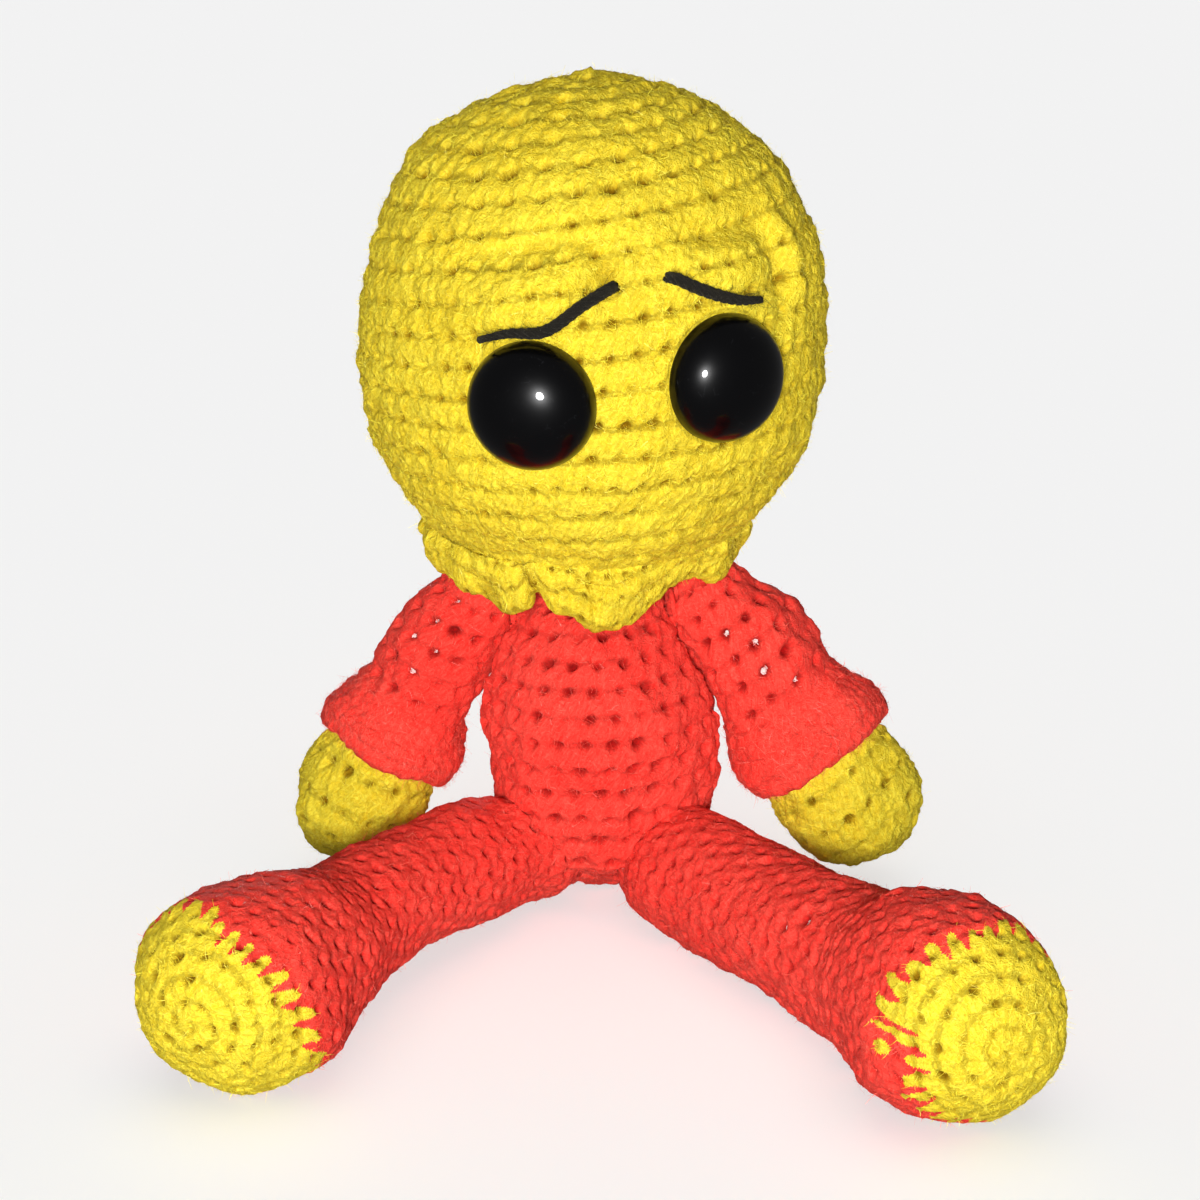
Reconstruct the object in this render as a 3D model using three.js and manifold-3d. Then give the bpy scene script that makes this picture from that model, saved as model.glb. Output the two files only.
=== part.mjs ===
// Seated crocheted doll, sewn together from separately worked pieces.
// Millimetres, +Z up, the face looks along -Y, the doll's left is +X.
// Origin: centre of the flattened seat, on the surface the doll sits on.

import * as THREE from 'three';
import { mergeVertices } from 'three/addons/utils/BufferGeometryUtils.js';
import Module from 'manifold-3d';

const wasm = await Module();
wasm.setup();

// ---------------------------------------------------------------- dimensions
const YARN_WALL = 2.8;            // thickness of the crocheted fabric
const GAP = 0.4;                  // clearance between neighbouring pieces
const FILL_GAP = 1.0;             // clearance around the fibre fill
const NECK_X = -1.8;              // the neck sits a little to the doll's right

// head: superellipse of revolution
const HEAD_Z = 124.3;             // height of the widest round
const HEAD_R = 47.6;              // horizontal radius
const HEAD_UP = 49.3;             // widest round to crown
const HEAD_DOWN = 50.6;           // widest round to neck
const HEAD_POW_UP = 2.06;         // roundness of the upper half
const HEAD_POW_DOWN = 2.55;       // the lower half is fuller
const HEAD_WALL = 3.2;
const NECK_HOLE = 8.2;            // radius of the open last round
const NECK_PIVOT_Z = 72.4;        // height of the sewn neck line

// eyes (24 mm domed safety eyes) and eyebrows
const EYE_R = 12.2, EYE_DOME = 9.3, EYE_POST_R = 3.3, EYE_POST = 12.5;
const EYE_SINK = 1.3;             // how far the back plate presses into the head
const EYES = { left: [32.6, -2.2], right: [-12.8, -6.0] };   // azimuth deg, height from HEAD_Z
const WASHER_R = 8.0, WASHER_T = 1.5;
const BROW_R = 1.05;
const BROWS = {
  right: [[8.2, 16.6], [-0.8, 12.6], [-9.0, 8.2], [-16.9, 7.5], [-25.4, 5.6]],
  left: [[18.0, 17.4], [26.0, 14.2], [34.6, 12.0], [46.0, 11.0]],
};

// torso: radius against height
const TORSO = [[14, 0], [17.0, 1.0], [18.8, 3.8], [20.8, 9], [22.8, 17], [24.7, 25.5], [26.1, 34],
  [26.4, 40], [25.7, 47], [23.4, 53.5], [19.4, 60], [15.8, 64.8], [13.4, 67.6], [11.6, 69.3]];
const SEAT_SLOPE = 0.55;           // rise of the lower front towards the belly
const TORSO_LEAN_FROM = 34;       // above this height the torso leans to NECK_X

// arms: dome centre at the shoulder, direction of the hanging arm
const SHOULDER = { left: [24.7, 0, 64.4], right: [-26.6, 0, 64.8] };
const ARM_DIR = { left: [0.5706, -0.0382, -0.8206], right: [-0.4525, 0.0563, -0.8900] };
const SWING_HEADING = { left: 44, right: 50 };   // the arm swings forward and a little outward, past the thigh, degrees
const ARM_R = 10.0, ELBOW_R = 11.8, WRIST_R = 11.0, SLEEVE_END = 39.8, HAND_R = 13.8, HAND_END = 66.8;
const CUFF_R = 16.4, CUFF_FROM = 31.2, CUFF_TO = 45.4;

// legs: dome centre at the hip, curved down to a round foot
const HIP = { left: [14.6, -12.5, 12.4], right: [-14.6, -12.5, 12.4] };
const HIP_R = 11.2, LEG_R = 12.8, ANKLE_R = 15.4, FOOT_R = 18.4;
const FOOT_TALL = 1.07;           // the foot is a little taller than wide
const FOOT = { left: [65.4, -93.4, 19.7], right: [-66.2, -85.8, 19.7] };
const TOE_AZ = { left: 17, right: 21 }, TOE_UP = 6;   // the toe points outward and up, degrees
const CAP_ANGLE = 75;             // half angle of the toe cap seen from the ball centre
const LEG_START = { left: 31, right: 45 };   // heading of the thigh from straight ahead, degrees

// the range the sewn joints allow, used to press matching hollows in the torso
const SWING = [-6, 0, 14, 27, 40];
const SPREAD = [-12, 0, 10];
const LIFT = [-20, 0, 15];
const HIP_POCKET = HIP_R + 1.9;
const FLOOR_WALL = 2.3;           // fabric under the fill where a leg lies flat

// ---------------------------------------------------------------- helpers
const rad = THREE.MathUtils.degToRad;
const V = (x, y, z) => new THREE.Vector3(x, y, z);

// merge the vertices, drop collapsed triangles and turn the faces outward
function tidy(geometry) {
  let g = geometry.clone();
  g.deleteAttribute('normal'); g.deleteAttribute('uv');
  g = mergeVertices(g, 1e-4);
  const idx = g.index.array, pos = g.attributes.position, keep = [];
  let vol = 0;
  const a = V(), b = V(), c = V();
  for (let i = 0; i < idx.length; i += 3) {
    const [p, q, r] = [idx[i], idx[i + 1], idx[i + 2]];
    if (p === q || q === r || r === p) continue;
    keep.push(p, q, r);
    a.fromBufferAttribute(pos, p); b.fromBufferAttribute(pos, q); c.fromBufferAttribute(pos, r);
    vol += a.dot(b.cross(c));
  }
  if (vol < 0) for (let i = 0; i < keep.length; i += 3) [keep[i], keep[i + 1]] = [keep[i + 1], keep[i]];
  g.setIndex(keep);
  return g;
}

// body of revolution about +Z from [radius, height] pairs
function turned(profile, segments, closed = false) {
  const pts = profile.map(([r, z]) => new THREE.Vector2(Math.max(r, 0), z));
  if (closed) pts.push(pts[0].clone());
  return tidy(new THREE.LatheGeometry(pts, segments).rotateX(Math.PI / 2));
}

function toSolid(g) {
  return new wasm.Manifold(new wasm.Mesh({
    numProp: 3,
    vertProperties: new Float32Array(g.attributes.position.array),
    triVerts: new Uint32Array(g.index.array),
  }));
}

function fromSolid(m) {
  const mesh = m.getMesh(), n = mesh.numProp;
  const out = new Float32Array(mesh.vertProperties.length / n * 3);
  for (let i = 0; i < out.length / 3; i++) for (let k = 0; k < 3; k++) out[3 * i + k] = mesh.vertProperties[i * n + k];
  const g = new THREE.BufferGeometry();
  g.setAttribute('position', new THREE.BufferAttribute(out, 3));
  g.setIndex(Array.from(mesh.triVerts));
  return g;
}

// a frame whose third axis is dir
function basis(dir) {
  const w = dir.clone().normalize();
  const u = V(0, 0, 1).cross(w);
  if (u.length() < 1e-6) u.set(1, 0, 0);
  u.normalize();
  return new THREE.Matrix4().makeBasis(u, w.clone().cross(u), w);
}

function placed(g, origin, dir) {
  return g.clone().applyMatrix4(basis(dir)).translate(origin.x, origin.y, origin.z);
}

// carry a piece turned about +Z onto a curved centre line
function bent(g, line, low = () => -Infinity) {
  const out = g.clone(), p = out.attributes.position;
  for (let i = 0; i < p.count; i++) {
    const f = line(p.getZ(i));
    const floor = low(Math.hypot(p.getX(i), p.getY(i)), p.getZ(i));   // lowest height allowed here
    const q = f.at.clone().addScaledVector(f.u, p.getX(i)).addScaledVector(f.v, p.getY(i) * (f.tall ?? 1));
    p.setXYZ(i, q.x, q.y, Math.max(q.z, floor));
  }
  return tidy(out);
}

function moved(g, fn) {
  const out = g.clone(), p = out.attributes.position, q = V();
  for (let i = 0; i < p.count; i++) {
    q.fromBufferAttribute(p, i); fn(q);
    p.setXYZ(i, q.x, q.y, q.z);
  }
  return out;
}

const group = new THREE.Group();
const material = {
  yellow: () => new THREE.MeshStandardMaterial({ color: 0xe9cf2c, roughness: 0.92, metalness: 0 }),
  red: () => new THREE.MeshStandardMaterial({ color: 0xe83a2e, roughness: 0.92, metalness: 0 }),
  black_yarn: () => new THREE.MeshStandardMaterial({ color: 0x1d1a12, roughness: 0.95, metalness: 0 }),
  black_gloss: () => new THREE.MeshStandardMaterial({ color: 0x050505, roughness: 0.06, metalness: 0 }),
  white_plastic: () => new THREE.MeshStandardMaterial({ color: 0xe6e4de, roughness: 0.45, metalness: 0 }),
  fill: () => new THREE.MeshStandardMaterial({ color: 0xf4f2ec, roughness: 1.0, metalness: 0 }),
};
function add(name, geometry, mat) {
  const g = geometry.index ? geometry : tidy(geometry);
  g.computeVertexNormals();
  const mesh = new THREE.Mesh(g, material[mat]());
  mesh.name = name;
  group.add(mesh);
  return mesh;
}

// ---------------------------------------------------------------- head shape
const headCentre = V(NECK_X, 0, HEAD_Z);
// radius of the head at height h from the widest round, with the surface moved in by inset
function headRadius(h, inset = 0) {
  const up = h > 0, n = up ? HEAD_POW_UP : HEAD_POW_DOWN;
  const c = (up ? HEAD_UP : HEAD_DOWN) - inset, a = HEAD_R - inset;
  const t = Math.min(Math.abs(h) / c, 1);
  return a * Math.pow(Math.max(1 - Math.pow(t, n), 0), 1 / n);
}
// height of the underside of the head at radius r
const headUnder = (r, inset = 0) => HEAD_Z - (HEAD_DOWN - inset) *
  Math.pow(Math.max(1 - Math.pow(r / (HEAD_R - inset), HEAD_POW_DOWN), 0), 1 / HEAD_POW_DOWN);

function headProfile(inset, rings, fromRadius) {
  const pts = [];
  const start = Math.asin(Math.min(fromRadius / (HEAD_R - inset), 1));
  for (let i = 0; i <= rings; i++) {
    const a = start + (Math.PI - start) * i / rings;        // 0 at the neck, pi at the crown
    const down = a < Math.PI / 2;
    const n = down ? HEAD_POW_DOWN : HEAD_POW_UP;
    const c = (down ? HEAD_DOWN : HEAD_UP) - inset;
    const s = Math.sin(a), k = Math.abs(Math.cos(a));
    const r = (HEAD_R - inset) * Math.pow(s, 2 / n) * 1;
    const z = -Math.sign(Math.cos(a)) * c * Math.pow(k, 2 / n);
    pts.push([i === rings ? 0 : r, HEAD_Z + z]);
  }
  return pts;
}
function headPoint(azDeg, h, out = 0) {
  const a = rad(azDeg), r = headRadius(h);
  const e = 0.05, dr = (headRadius(h + e) - headRadius(h - e)) / (2 * e);
  const n = V(Math.sin(a), -Math.cos(a), -dr).normalize();
  const p = V(NECK_X + r * Math.sin(a), -r * Math.cos(a), HEAD_Z + h);
  return { at: p.addScaledVector(n, out), n };
}

// ---------------------------------------------------------------- head pieces
{
  // outer wall from the open neck round to the crown, then back down the inside
  const outer = headProfile(0, 17, 1.2).filter(([r, z], i) => r > NECK_HOLE || z > HEAD_Z);
  const inner = headProfile(HEAD_WALL, 11, 1.2).filter(([r, z]) => r > NECK_HOLE - 0.5 || z > HEAD_Z);
  const loop = [[NECK_HOLE, headUnder(NECK_HOLE)], ...outer, ...inner.reverse(), [NECK_HOLE, headUnder(NECK_HOLE, HEAD_WALL)]];
  let cover = toSolid(turned(loop, 28, true).translate(NECK_X, 0, 0));
  let fill = toSolid(turned([[0, headUnder(0, HEAD_WALL + FILL_GAP)], ...headProfile(HEAD_WALL + FILL_GAP, 11, 4)], 28).translate(NECK_X, 0, 0));

  for (const side of ['left', 'right']) {
    const [az, h] = EYES[side];
    const { at, n } = headPoint(az, h, -EYE_SINK);
    // domed eye with a rim, a flat back and a ridged post
    const p = EYE_POST_R;
    const eyeProfile = [[0, -EYE_POST], [p - 0.5, -EYE_POST], [p, -EYE_POST + 0.8], [p - 0.25, -9], [p, -8.4], [p - 0.25, -7.8],
      [p, -7.2], [p - 0.25, -6.6], [p, -6], [p, 0], [EYE_R - 0.4, 0], [EYE_R, 0.5]];
    for (let i = 1; i <= 7; i++) {
      const a = i / 7 * Math.PI / 2;
      eyeProfile.push([i === 7 ? 0 : EYE_R * Math.cos(a), 0.5 + (EYE_DOME - 0.5) * Math.sin(a)]);
    }
    add(`eye_${side}`, placed(turned(eyeProfile, 20), at, n), 'black_gloss');
    // the fabric is dented under the eye and the post goes through a hole
    const dent = placed(turned([[0, -0.35], [EYE_R + GAP, -0.35], [EYE_R + GAP, 6], [0, 6]], 24), at, n);
    const hole = placed(turned([[0, -9], [p + GAP, -9], [p + GAP, 4], [0, 4]], 14), at, n);
    cover = cover.subtract(toSolid(dent)).subtract(toSolid(hole));
    const wallIn = HEAD_WALL - EYE_SINK + 1.1;
    add(`eye_washer_${side}`, placed(turned([[p + 0.5, -wallIn - WASHER_T], [WASHER_R, -wallIn - WASHER_T], [WASHER_R, -wallIn - 0.3],
      [WASHER_R - 1.5, -wallIn], [p + 0.5, -wallIn]], 16, true), at, n), 'white_plastic');
    const room = placed(turned([[0, -EYE_POST - 0.6], [WASHER_R + 0.6, -EYE_POST - 0.6], [WASHER_R + 0.6, 2], [0, 2]], 16), at, n);
    fill = fill.subtract(toSolid(room));
  }
  add('head_cover', fromSolid(cover), 'yellow');
  add('head_stuffing', fromSolid(fill), 'fill');

  // eyebrows: one bent strand of yarn each, lying on the face
  for (const side of ['left', 'right']) {
    const pts = BROWS[side].map(([az, h]) => headPoint(az, h, BROW_R + 0.55).at);
    const curve = new THREE.CatmullRomCurve3(pts, false, 'centripetal');
    const section = new THREE.Shape();
    for (let i = 0; i < 8; i++) {
      const a = i / 8 * Math.PI * 2;
      section[i ? 'lineTo' : 'moveTo'](BROW_R * Math.cos(a), BROW_R * Math.sin(a));
    }
    add(`eyebrow_${side}`, tidy(new THREE.ExtrudeGeometry(section, { steps: 14, bevelEnabled: false, extrudePath: curve })), 'black_yarn');
  }
}

// ---------------------------------------------------------------- neck line and collar
const ring = (major, minor, seg, sides) => tidy(new THREE.TorusGeometry(major, minor, sides, seg));
add('neck_seam', ring(10.4, 1.1, 20, 7).translate(NECK_X, 0, NECK_PIVOT_Z), 'yellow');
{
  // ruffled skirt: a thin web under the head, then a thick hem that hangs lower at front and back
  const under = [12.4, 18, 24, 29, 32.5, 34.6].map(r => [r, headUnder(r, -0.6)]);
  const skin = [[36.1, 83.4], [36.8, 80.2], [36.4, 78.0], [34.2, 77.0], [31.4, 77.8]];
  const web = [[28.5, headUnder(28.5) - 2.6], [23, headUnder(23) - 2.2], [17, headUnder(17) - 2.0], [12.4, headUnder(12.4) - 1.9]];
  const g = moved(turned([...under, ...skin, ...web], 36, true), q => {
    const r = Math.hypot(q.x, q.y), a = Math.atan2(q.x, -q.y);
    const k = THREE.MathUtils.smoothstep(r, 28.6, 33) * (1 - THREE.MathUtils.smoothstep(q.z, 77.6, 84));
    const c2 = Math.cos(a) ** 2;
    const scallop = 0.9 * Math.cos(9 * a) * c2;
    q.z -= k * (8.4 * c2 + scallop);
    const f = 1 - k * 0.16 * c2;
    q.x *= f * (q.x > 0 ? 1 - 0.08 * k : 1); q.y *= f;   // a little tighter on the doll's left
  }).translate(NECK_X, 0, 0);
  add('collar', g, 'yellow');
}

// ---------------------------------------------------------------- limbs: local shapes along +Z
const armAxis = side => V(...ARM_DIR[side]).normalize();
const domeArc = (r, from, to, n, centre = 0) => {
  const out = [];
  for (let i = 0; i <= n; i++) {
    const a = rad(from + (to - from) * i / n);
    const rr = r * Math.sin(a);
    out.push([Math.abs(rr) < 1e-6 ? 0 : rr, centre - r * Math.cos(a)]);
  }
  return out;
};

function armPieces(side) {
  const S = V(...SHOULDER[side]), d = armAxis(side), w = 2.4;
  const put = g => placed(g, S, d);
  // sleeve: closed round top, open at the wrist
  const so = [...domeArc(ARM_R, 0, 90, 4), [ELBOW_R - 0.6, 8], [ELBOW_R, 15], [ELBOW_R, 25], [WRIST_R, 30.5], [WRIST_R, SLEEVE_END]];
  const si = [[WRIST_R - w, SLEEVE_END], [ELBOW_R - w - 0.1, 27], [ELBOW_R - w - 0.3, 14], ...domeArc(ARM_R - w, 90, 0, 3)];
  add(`sleeve_${side}`, put(turned([...so, ...si], 14)), 'red');
  // hand: closed mitt, open at the wrist
  const h0 = SLEEVE_END + GAP;
  const ho = [[0, HAND_END], [6.4, HAND_END - 1.7], [10.6, HAND_END - 4.8], [13.1, HAND_END - 9.4], [HAND_R, SLEEVE_END + 11.9], [12.8, SLEEVE_END + 8.2], [10.6, SLEEVE_END + 5.4], [9.9, h0]];
  const hi = [[9.9 - w, h0], [8.0, h0 + 5.4], [11.1, h0 + 10], [11.2, h0 + 14.4], [8.6, h0 + 20.4], [0, HAND_END - w]];
  add(`hand_${side}`, put(turned([...ho, ...hi], 14)), 'yellow');
  // cuff: padded ring over the end of the sleeve
  const ci = WRIST_R + GAP, cm = (CUFF_FROM + CUFF_TO) / 2;
  add(`cuff_${side}`, put(turned([[ci, CUFF_FROM + 0.6], [12.6, CUFF_FROM], [14.8, CUFF_FROM + 1.6], [CUFF_R, cm - 2.2], [CUFF_R, cm + 2.2],
    [14.9, CUFF_TO - 1.6], [12.8, CUFF_TO], [ci + 0.2, CUFF_TO - 0.7]], 14, true)), 'red');
  // fibre fill of arm and hand in one piece
  const f = [...domeArc(ARM_R - w - 0.6, 0, 90, 3), [ARM_R - w - 0.2, 16], [ARM_R - w - 0.2, 26], [6.7, SLEEVE_END - 0.6], [6.6, h0 + 4.6], [10.2, h0 + 10], [10.3, h0 + 14.4], [7.4, h0 + 20], [0, HAND_END - w - 1.2]];
  add(`arm_stuffing_${side}`, put(turned(f, 14)), 'fill');
  // sewing yarn around the joint, on the torso side
  const inward = V(side === 'left' ? -1 : 1, 0, 0);
  const rs = ARM_R + 1.05, ang = rad(36);
  const seam = ring(rs * Math.sin(ang), 0.62, 16, 6).translate(0, 0, rs * Math.cos(ang));
  add(`shoulder_seam_${side}`, placed(seam, S, inward), 'red');
}

const toeAxis = side => {
  const s = side === 'left' ? 1 : -1;
  const az = rad(TOE_AZ[side]);
  return V(s * Math.sin(az) * Math.cos(rad(TOE_UP)), -Math.cos(az) * Math.cos(rad(TOE_UP)), Math.sin(rad(TOE_UP)));
};
// centre line of a leg: a curve from hip to ankle, then straight through the foot
function legLine(side) {
  const s = side === 'left' ? 1 : -1;
  const H = V(...HIP[side]), B = V(...FOOT[side]), f = toeAxis(side);
  const A = B.clone().addScaledVector(f, -14);
  const a0 = rad(LEG_START[side]);
  const P1 = H.clone().add(V(s * Math.sin(a0), -Math.cos(a0), 0).multiplyScalar(28));
  const P2 = A.clone().addScaledVector(f, side === 'left' ? -10 : -16);
  P2.z = 15.4;
  const curve = new THREE.CubicBezierCurve3(H, P1, P2, A);
  curve.arcLengthDivisions = 400;
  const L = curve.getLength();
  const side0 = V(0, 0, 1);
  const line = q => {
    let at, t;
    if (q <= 0) { t = curve.getTangentAt(0); at = H.clone().addScaledVector(t, q); }
    else if (q >= L) { t = f.clone(); at = A.clone().addScaledVector(f, q - L); }
    else { t = curve.getTangentAt(q / L); at = curve.getPointAt(q / L); }
    const u = side0.clone().cross(t).normalize();
    const tall = 1 + (FOOT_TALL - 1) * THREE.MathUtils.smoothstep(q, L - 12, L + 8);
    return { at, t, u, v: t.clone().cross(u).normalize(), tall };
  };
  return { line, length: L + 14 };
}

function legPieces(side) {
  const { line, length: L } = legLine(side);
  const w = 2.5, cap = rad(CAP_ANGLE);
  const outer = [...domeArc(HIP_R, 0, 90, 4), [12.2, 9], [LEG_R, 20], [LEG_R, 32], [LEG_R + 0.4, 44], [LEG_R + 1.2, 54], [ANKLE_R, L - 26], [ANKLE_R + 1.9, L - 18.5],
    [FOOT_R - 0.3, L - 10], [FOOT_R, L - 2],
    [FOOT_R * Math.sin(cap), L + FOOT_R * Math.cos(cap)]];
  const Ri = FOOT_R - w;
  const inner = [[Ri * Math.sin(cap), L + FOOT_R * Math.cos(cap)], [Ri, L - 2], [Ri - 0.3, L - 10], [ANKLE_R + 1.9 - w, L - 18.5],
    [ANKLE_R - w, L - 26], [LEG_R - w + 1.2, 54], [LEG_R - w + 0.2, 44], [LEG_R - w, 30], [LEG_R - w - 0.4, 14], ...domeArc(HIP_R - w, 90, 0, 3)];
  // where it lies on the floor the leg is flat: the outside at 0, the inside one wall higher
  const radiusAt = z => {
    if (z >= L) return Math.sqrt(Math.max(FOOT_R ** 2 - (z - L) ** 2, 0));
    for (let i = 1; i < outer.length; i++) {
      const [r0, z0] = outer[i - 1], [r1, z1] = outer[i];
      if (z <= z1) return r0 + (r1 - r0) * Math.max(z - z0, 0) / (z1 - z0);
    }
    return 0;
  };
  const low = (r, z) => (r > radiusAt(z) - 1.2 ? 0 : FLOOR_WALL);
  add(`leg_${side}`, bent(turned([...outer, ...inner], 16), line, low), 'red');
  // toe cap: round shell, open towards the leg
  const c0 = L + FOOT_R * Math.cos(cap) + GAP, co = [], cin = [];
  for (let i = 0; i <= 5; i++) {
    const a = Math.acos((c0 - L) / FOOT_R) * (1 - i / 5);
    co.push([i === 5 ? 0 : FOOT_R * Math.sin(a), L + FOOT_R * Math.cos(a)]);
  }
  for (let i = 0; i <= 4; i++) {
    const a = Math.acos((c0 - L) / Ri) * (i / 4);
    cin.push([i === 0 ? 0 : Ri * Math.sin(a), L + Ri * Math.cos(a)]);
  }
  add(`toe_cap_${side}`, bent(turned([...co, ...cin], 16, true), line, low), 'yellow');
  const Rf = Ri - 0.8;
  const g = 0.7;
  const fill = [...domeArc(HIP_R - w - g, 0, 90, 3), [LEG_R - w - g - 0.5, 14], [LEG_R - w - g, 30], [LEG_R - w - g + 0.1, 44], [LEG_R - w - g + 0.9, 54],
    [ANKLE_R - w - g, L - 26], [ANKLE_R - w - g + 1.8, L - 18.5], [Rf - 0.3, L - 10], [Rf, L - 2],
    [Rf * Math.sin(rad(60)), L + Rf * Math.cos(rad(60))], [Rf * Math.sin(rad(30)), L + Rf * Math.cos(rad(30))], [0, L + Rf]];
  add(`leg_stuffing_${side}`, bent(turned(fill, 16), line, () => FLOOR_WALL + 0.8), 'fill');
  // sewing yarn around the joint, in the hollow of the torso
  const H = V(...HIP[side]);
  const inward = V(-H.x, -H.y, 3).normalize();
  const rs = HIP_R + 0.95, ang = rad(42);
  const seam = ring(rs * Math.sin(ang), 0.55, 16, 6).translate(0, 0, rs * Math.cos(ang));
  add(`hip_seam_${side}`, placed(seam, H, inward), 'red');
}

// ---------------------------------------------------------------- torso
function torsoLean(q) {
  q.x += NECK_X * THREE.MathUtils.smoothstep(q.z, TORSO_LEAN_FROM, 66);
}
const capsule = (r, a, b) => {
  const d = b.clone().sub(a), len = d.length();
  return toSolid(placed(turned([...domeArc(r, 0, 90, 4), ...domeArc(r, 90, 180, 4, len)], 18), a, d));
};
{
  const w = YARN_WALL;
  // inner wall: the outline moved in by the fabric thickness
  const inset = (t) => {
    const out = [];
    for (const [r, z] of TORSO) out.push([Math.max(r - t, 3), z]);
    return out;
  };
  // the lower front slopes up between the thighs
  const slope = new THREE.Shape([[4, 0], [44, 40 * SEAT_SLOPE], [44, -6], [4, -6]].map(([y, z]) => new THREE.Vector2(y, z)));
  const wedge = toSolid(tidy(new THREE.ExtrudeGeometry(slope, { depth: 80, bevelEnabled: false })
    .applyMatrix4(new THREE.Matrix4().makeBasis(V(0, -1, 0), V(0, 0, 1), V(-1, 0, 0))).translate(40, 0, 0)));
  const outer = toSolid(moved(turned([[0, 0], ...TORSO, [0, 69.3]], 30), torsoLean)).subtract(wedge);
  const innerPts = inset(w).filter(([r, z]) => z > 3.2 && z < 66);
  const neckHole = [[7.9, 66.4], [7.9, 72]];
  const inner = toSolid(moved(turned([[0, w], [15.6, w], ...innerPts, ...neckHole, [0, 72]], 22), torsoLean));
  const fillPts = inset(w + FILL_GAP).filter(([r, z]) => z > 4.5 && z < 64);
  let fill = toSolid(moved(turned([[0, w + FILL_GAP], [13.6, w + FILL_GAP], ...fillPts, [7.0, 66], [7.0, 68.2], [0, 68.7]], 22), torsoLean));
  // hollows that the arms and legs press into the torso, over their whole travel
  const pressed = grow => {
    let m = null;
    const put = (a, b, r) => { const c = capsule(r + grow, a, b); m = m ? m.add(c) : c; };
    for (const side of ['left', 'right']) {
      const S = V(...SHOULDER[side]), d = armAxis(side);
      const a = rad(SWING_HEADING[side]), ahead = V((side === 'left' ? 1 : -1) * Math.sin(a), -Math.cos(a), 0);
      const axle = d.clone().cross(ahead).normalize();
      for (const s of SWING) {
        const e = d.clone().applyAxisAngle(axle, rad(s));
        put(S.clone().addScaledVector(e, 8), S.clone().addScaledVector(e, 24), ELBOW_R + 0.9);
      }
      put(S, S.clone().add(V(0, 0, 0.5)), ARM_R + 2.1);
      const H = V(...HIP[side]), k = side === 'left' ? 1 : -1;
      const t0 = legLine(side).line(0).t;
      put(H, H.clone().add(V(0, 0, 0.2)), HIP_POCKET);
      for (const sp of SPREAD) for (const li of LIFT) {
        const t = t0.clone();
        const across = V(0, 0, 1).cross(t).normalize();
        t.applyAxisAngle(across, -rad(li));
        t.applyAxisAngle(V(0, 0, 1), k * rad(sp));
        put(H, H.clone().addScaledVector(t, 9), HIP_R + 1.2);
        put(H.clone().addScaledVector(t, 9), H.clone().addScaledVector(t, 24), LEG_R + 1.0);
      }
    }
    return m;
  };
  const frontBlock = grow => toSolid(tidy(new THREE.BoxGeometry(60, 40, 27 + grow).translate(0, -29 + grow, (27 + grow) / 2)));
  const largest = m => m.decompose().sort((a, b) => b.volume() - a.volume())[0];
  const hollow = largest(inner.subtract(pressed(w)).subtract(frontBlock(0)));
  const cover = largest(outer.subtract(pressed(0)).subtract(hollow));
  fill = largest(fill.subtract(pressed(w + FILL_GAP)).subtract(frontBlock(FILL_GAP)));
  add('torso_cover', fromSolid(cover), 'red');
  add('torso_stuffing', fromSolid(fill), 'fill');
}

for (const side of ['left', 'right']) armPieces(side);
for (const side of ['left', 'right']) legPieces(side);

export default group;
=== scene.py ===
"""Looks of the seated crocheted doll: every visible stitch is a pair of yarn strands laid on the shape of its piece."""
import math
import bpy
import numpy as np
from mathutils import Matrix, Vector


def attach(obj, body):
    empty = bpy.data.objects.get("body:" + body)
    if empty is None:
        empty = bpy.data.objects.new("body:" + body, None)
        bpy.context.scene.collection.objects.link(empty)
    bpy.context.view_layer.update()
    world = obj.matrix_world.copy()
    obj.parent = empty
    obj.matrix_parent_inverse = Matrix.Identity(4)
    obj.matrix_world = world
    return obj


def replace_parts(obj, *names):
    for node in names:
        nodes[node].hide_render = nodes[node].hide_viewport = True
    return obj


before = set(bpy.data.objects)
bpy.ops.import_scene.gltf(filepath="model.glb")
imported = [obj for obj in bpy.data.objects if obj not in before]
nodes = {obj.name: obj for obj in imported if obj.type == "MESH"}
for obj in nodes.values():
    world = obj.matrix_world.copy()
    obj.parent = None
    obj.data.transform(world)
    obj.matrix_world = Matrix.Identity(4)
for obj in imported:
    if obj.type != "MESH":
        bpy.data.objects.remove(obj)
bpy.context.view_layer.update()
TAU = 2 * math.pi
rad = math.radians

# ------------------------------------------------------------------ dimensions, mm, as in the CAD source
NECK_X = -1.8
HEAD_Z, HEAD_R, HEAD_UP, HEAD_DOWN, POW_UP, POW_DOWN = 124.3, 47.6, 49.3, 50.6, 2.06, 2.55
NECK_PIVOT_Z = 72.4
EYE_R, EYE_DOME, EYE_POST_R, EYE_POST, EYE_SINK = 12.2, 9.3, 3.3, 12.5, 1.3
EYES = {"left": (32.6, -2.2), "right": (-12.8, -6.0)}
BROW_R = 1.05
BROWS = {
    "right": [(6.4, 16.2), (-1.2, 12.6), (-9.0, 8.2), (-16.9, 7.5), (-25.4, 5.6)],
    "left": [(18.0, 17.4), (26.0, 14.2), (34.2, 12.0), (42.6, 11.4)],
}
TORSO = [(14, 0), (17.0, 1.0), (18.8, 3.8), (20.8, 9), (22.8, 17), (24.7, 25.5), (26.1, 34), (26.4, 40), (25.7, 47),
         (23.4, 53.5), (19.4, 60), (15.8, 64.8), (13.4, 67.6), (11.6, 69.3)]
SEAT_SLOPE = 0.55
SHOULDER = {"left": (24.7, 0, 64.4), "right": (-26.6, 0, 64.8)}
ARM_DIR = {"left": (0.5706, -0.0382, -0.8206), "right": (-0.4525, 0.0563, -0.8900)}
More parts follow.
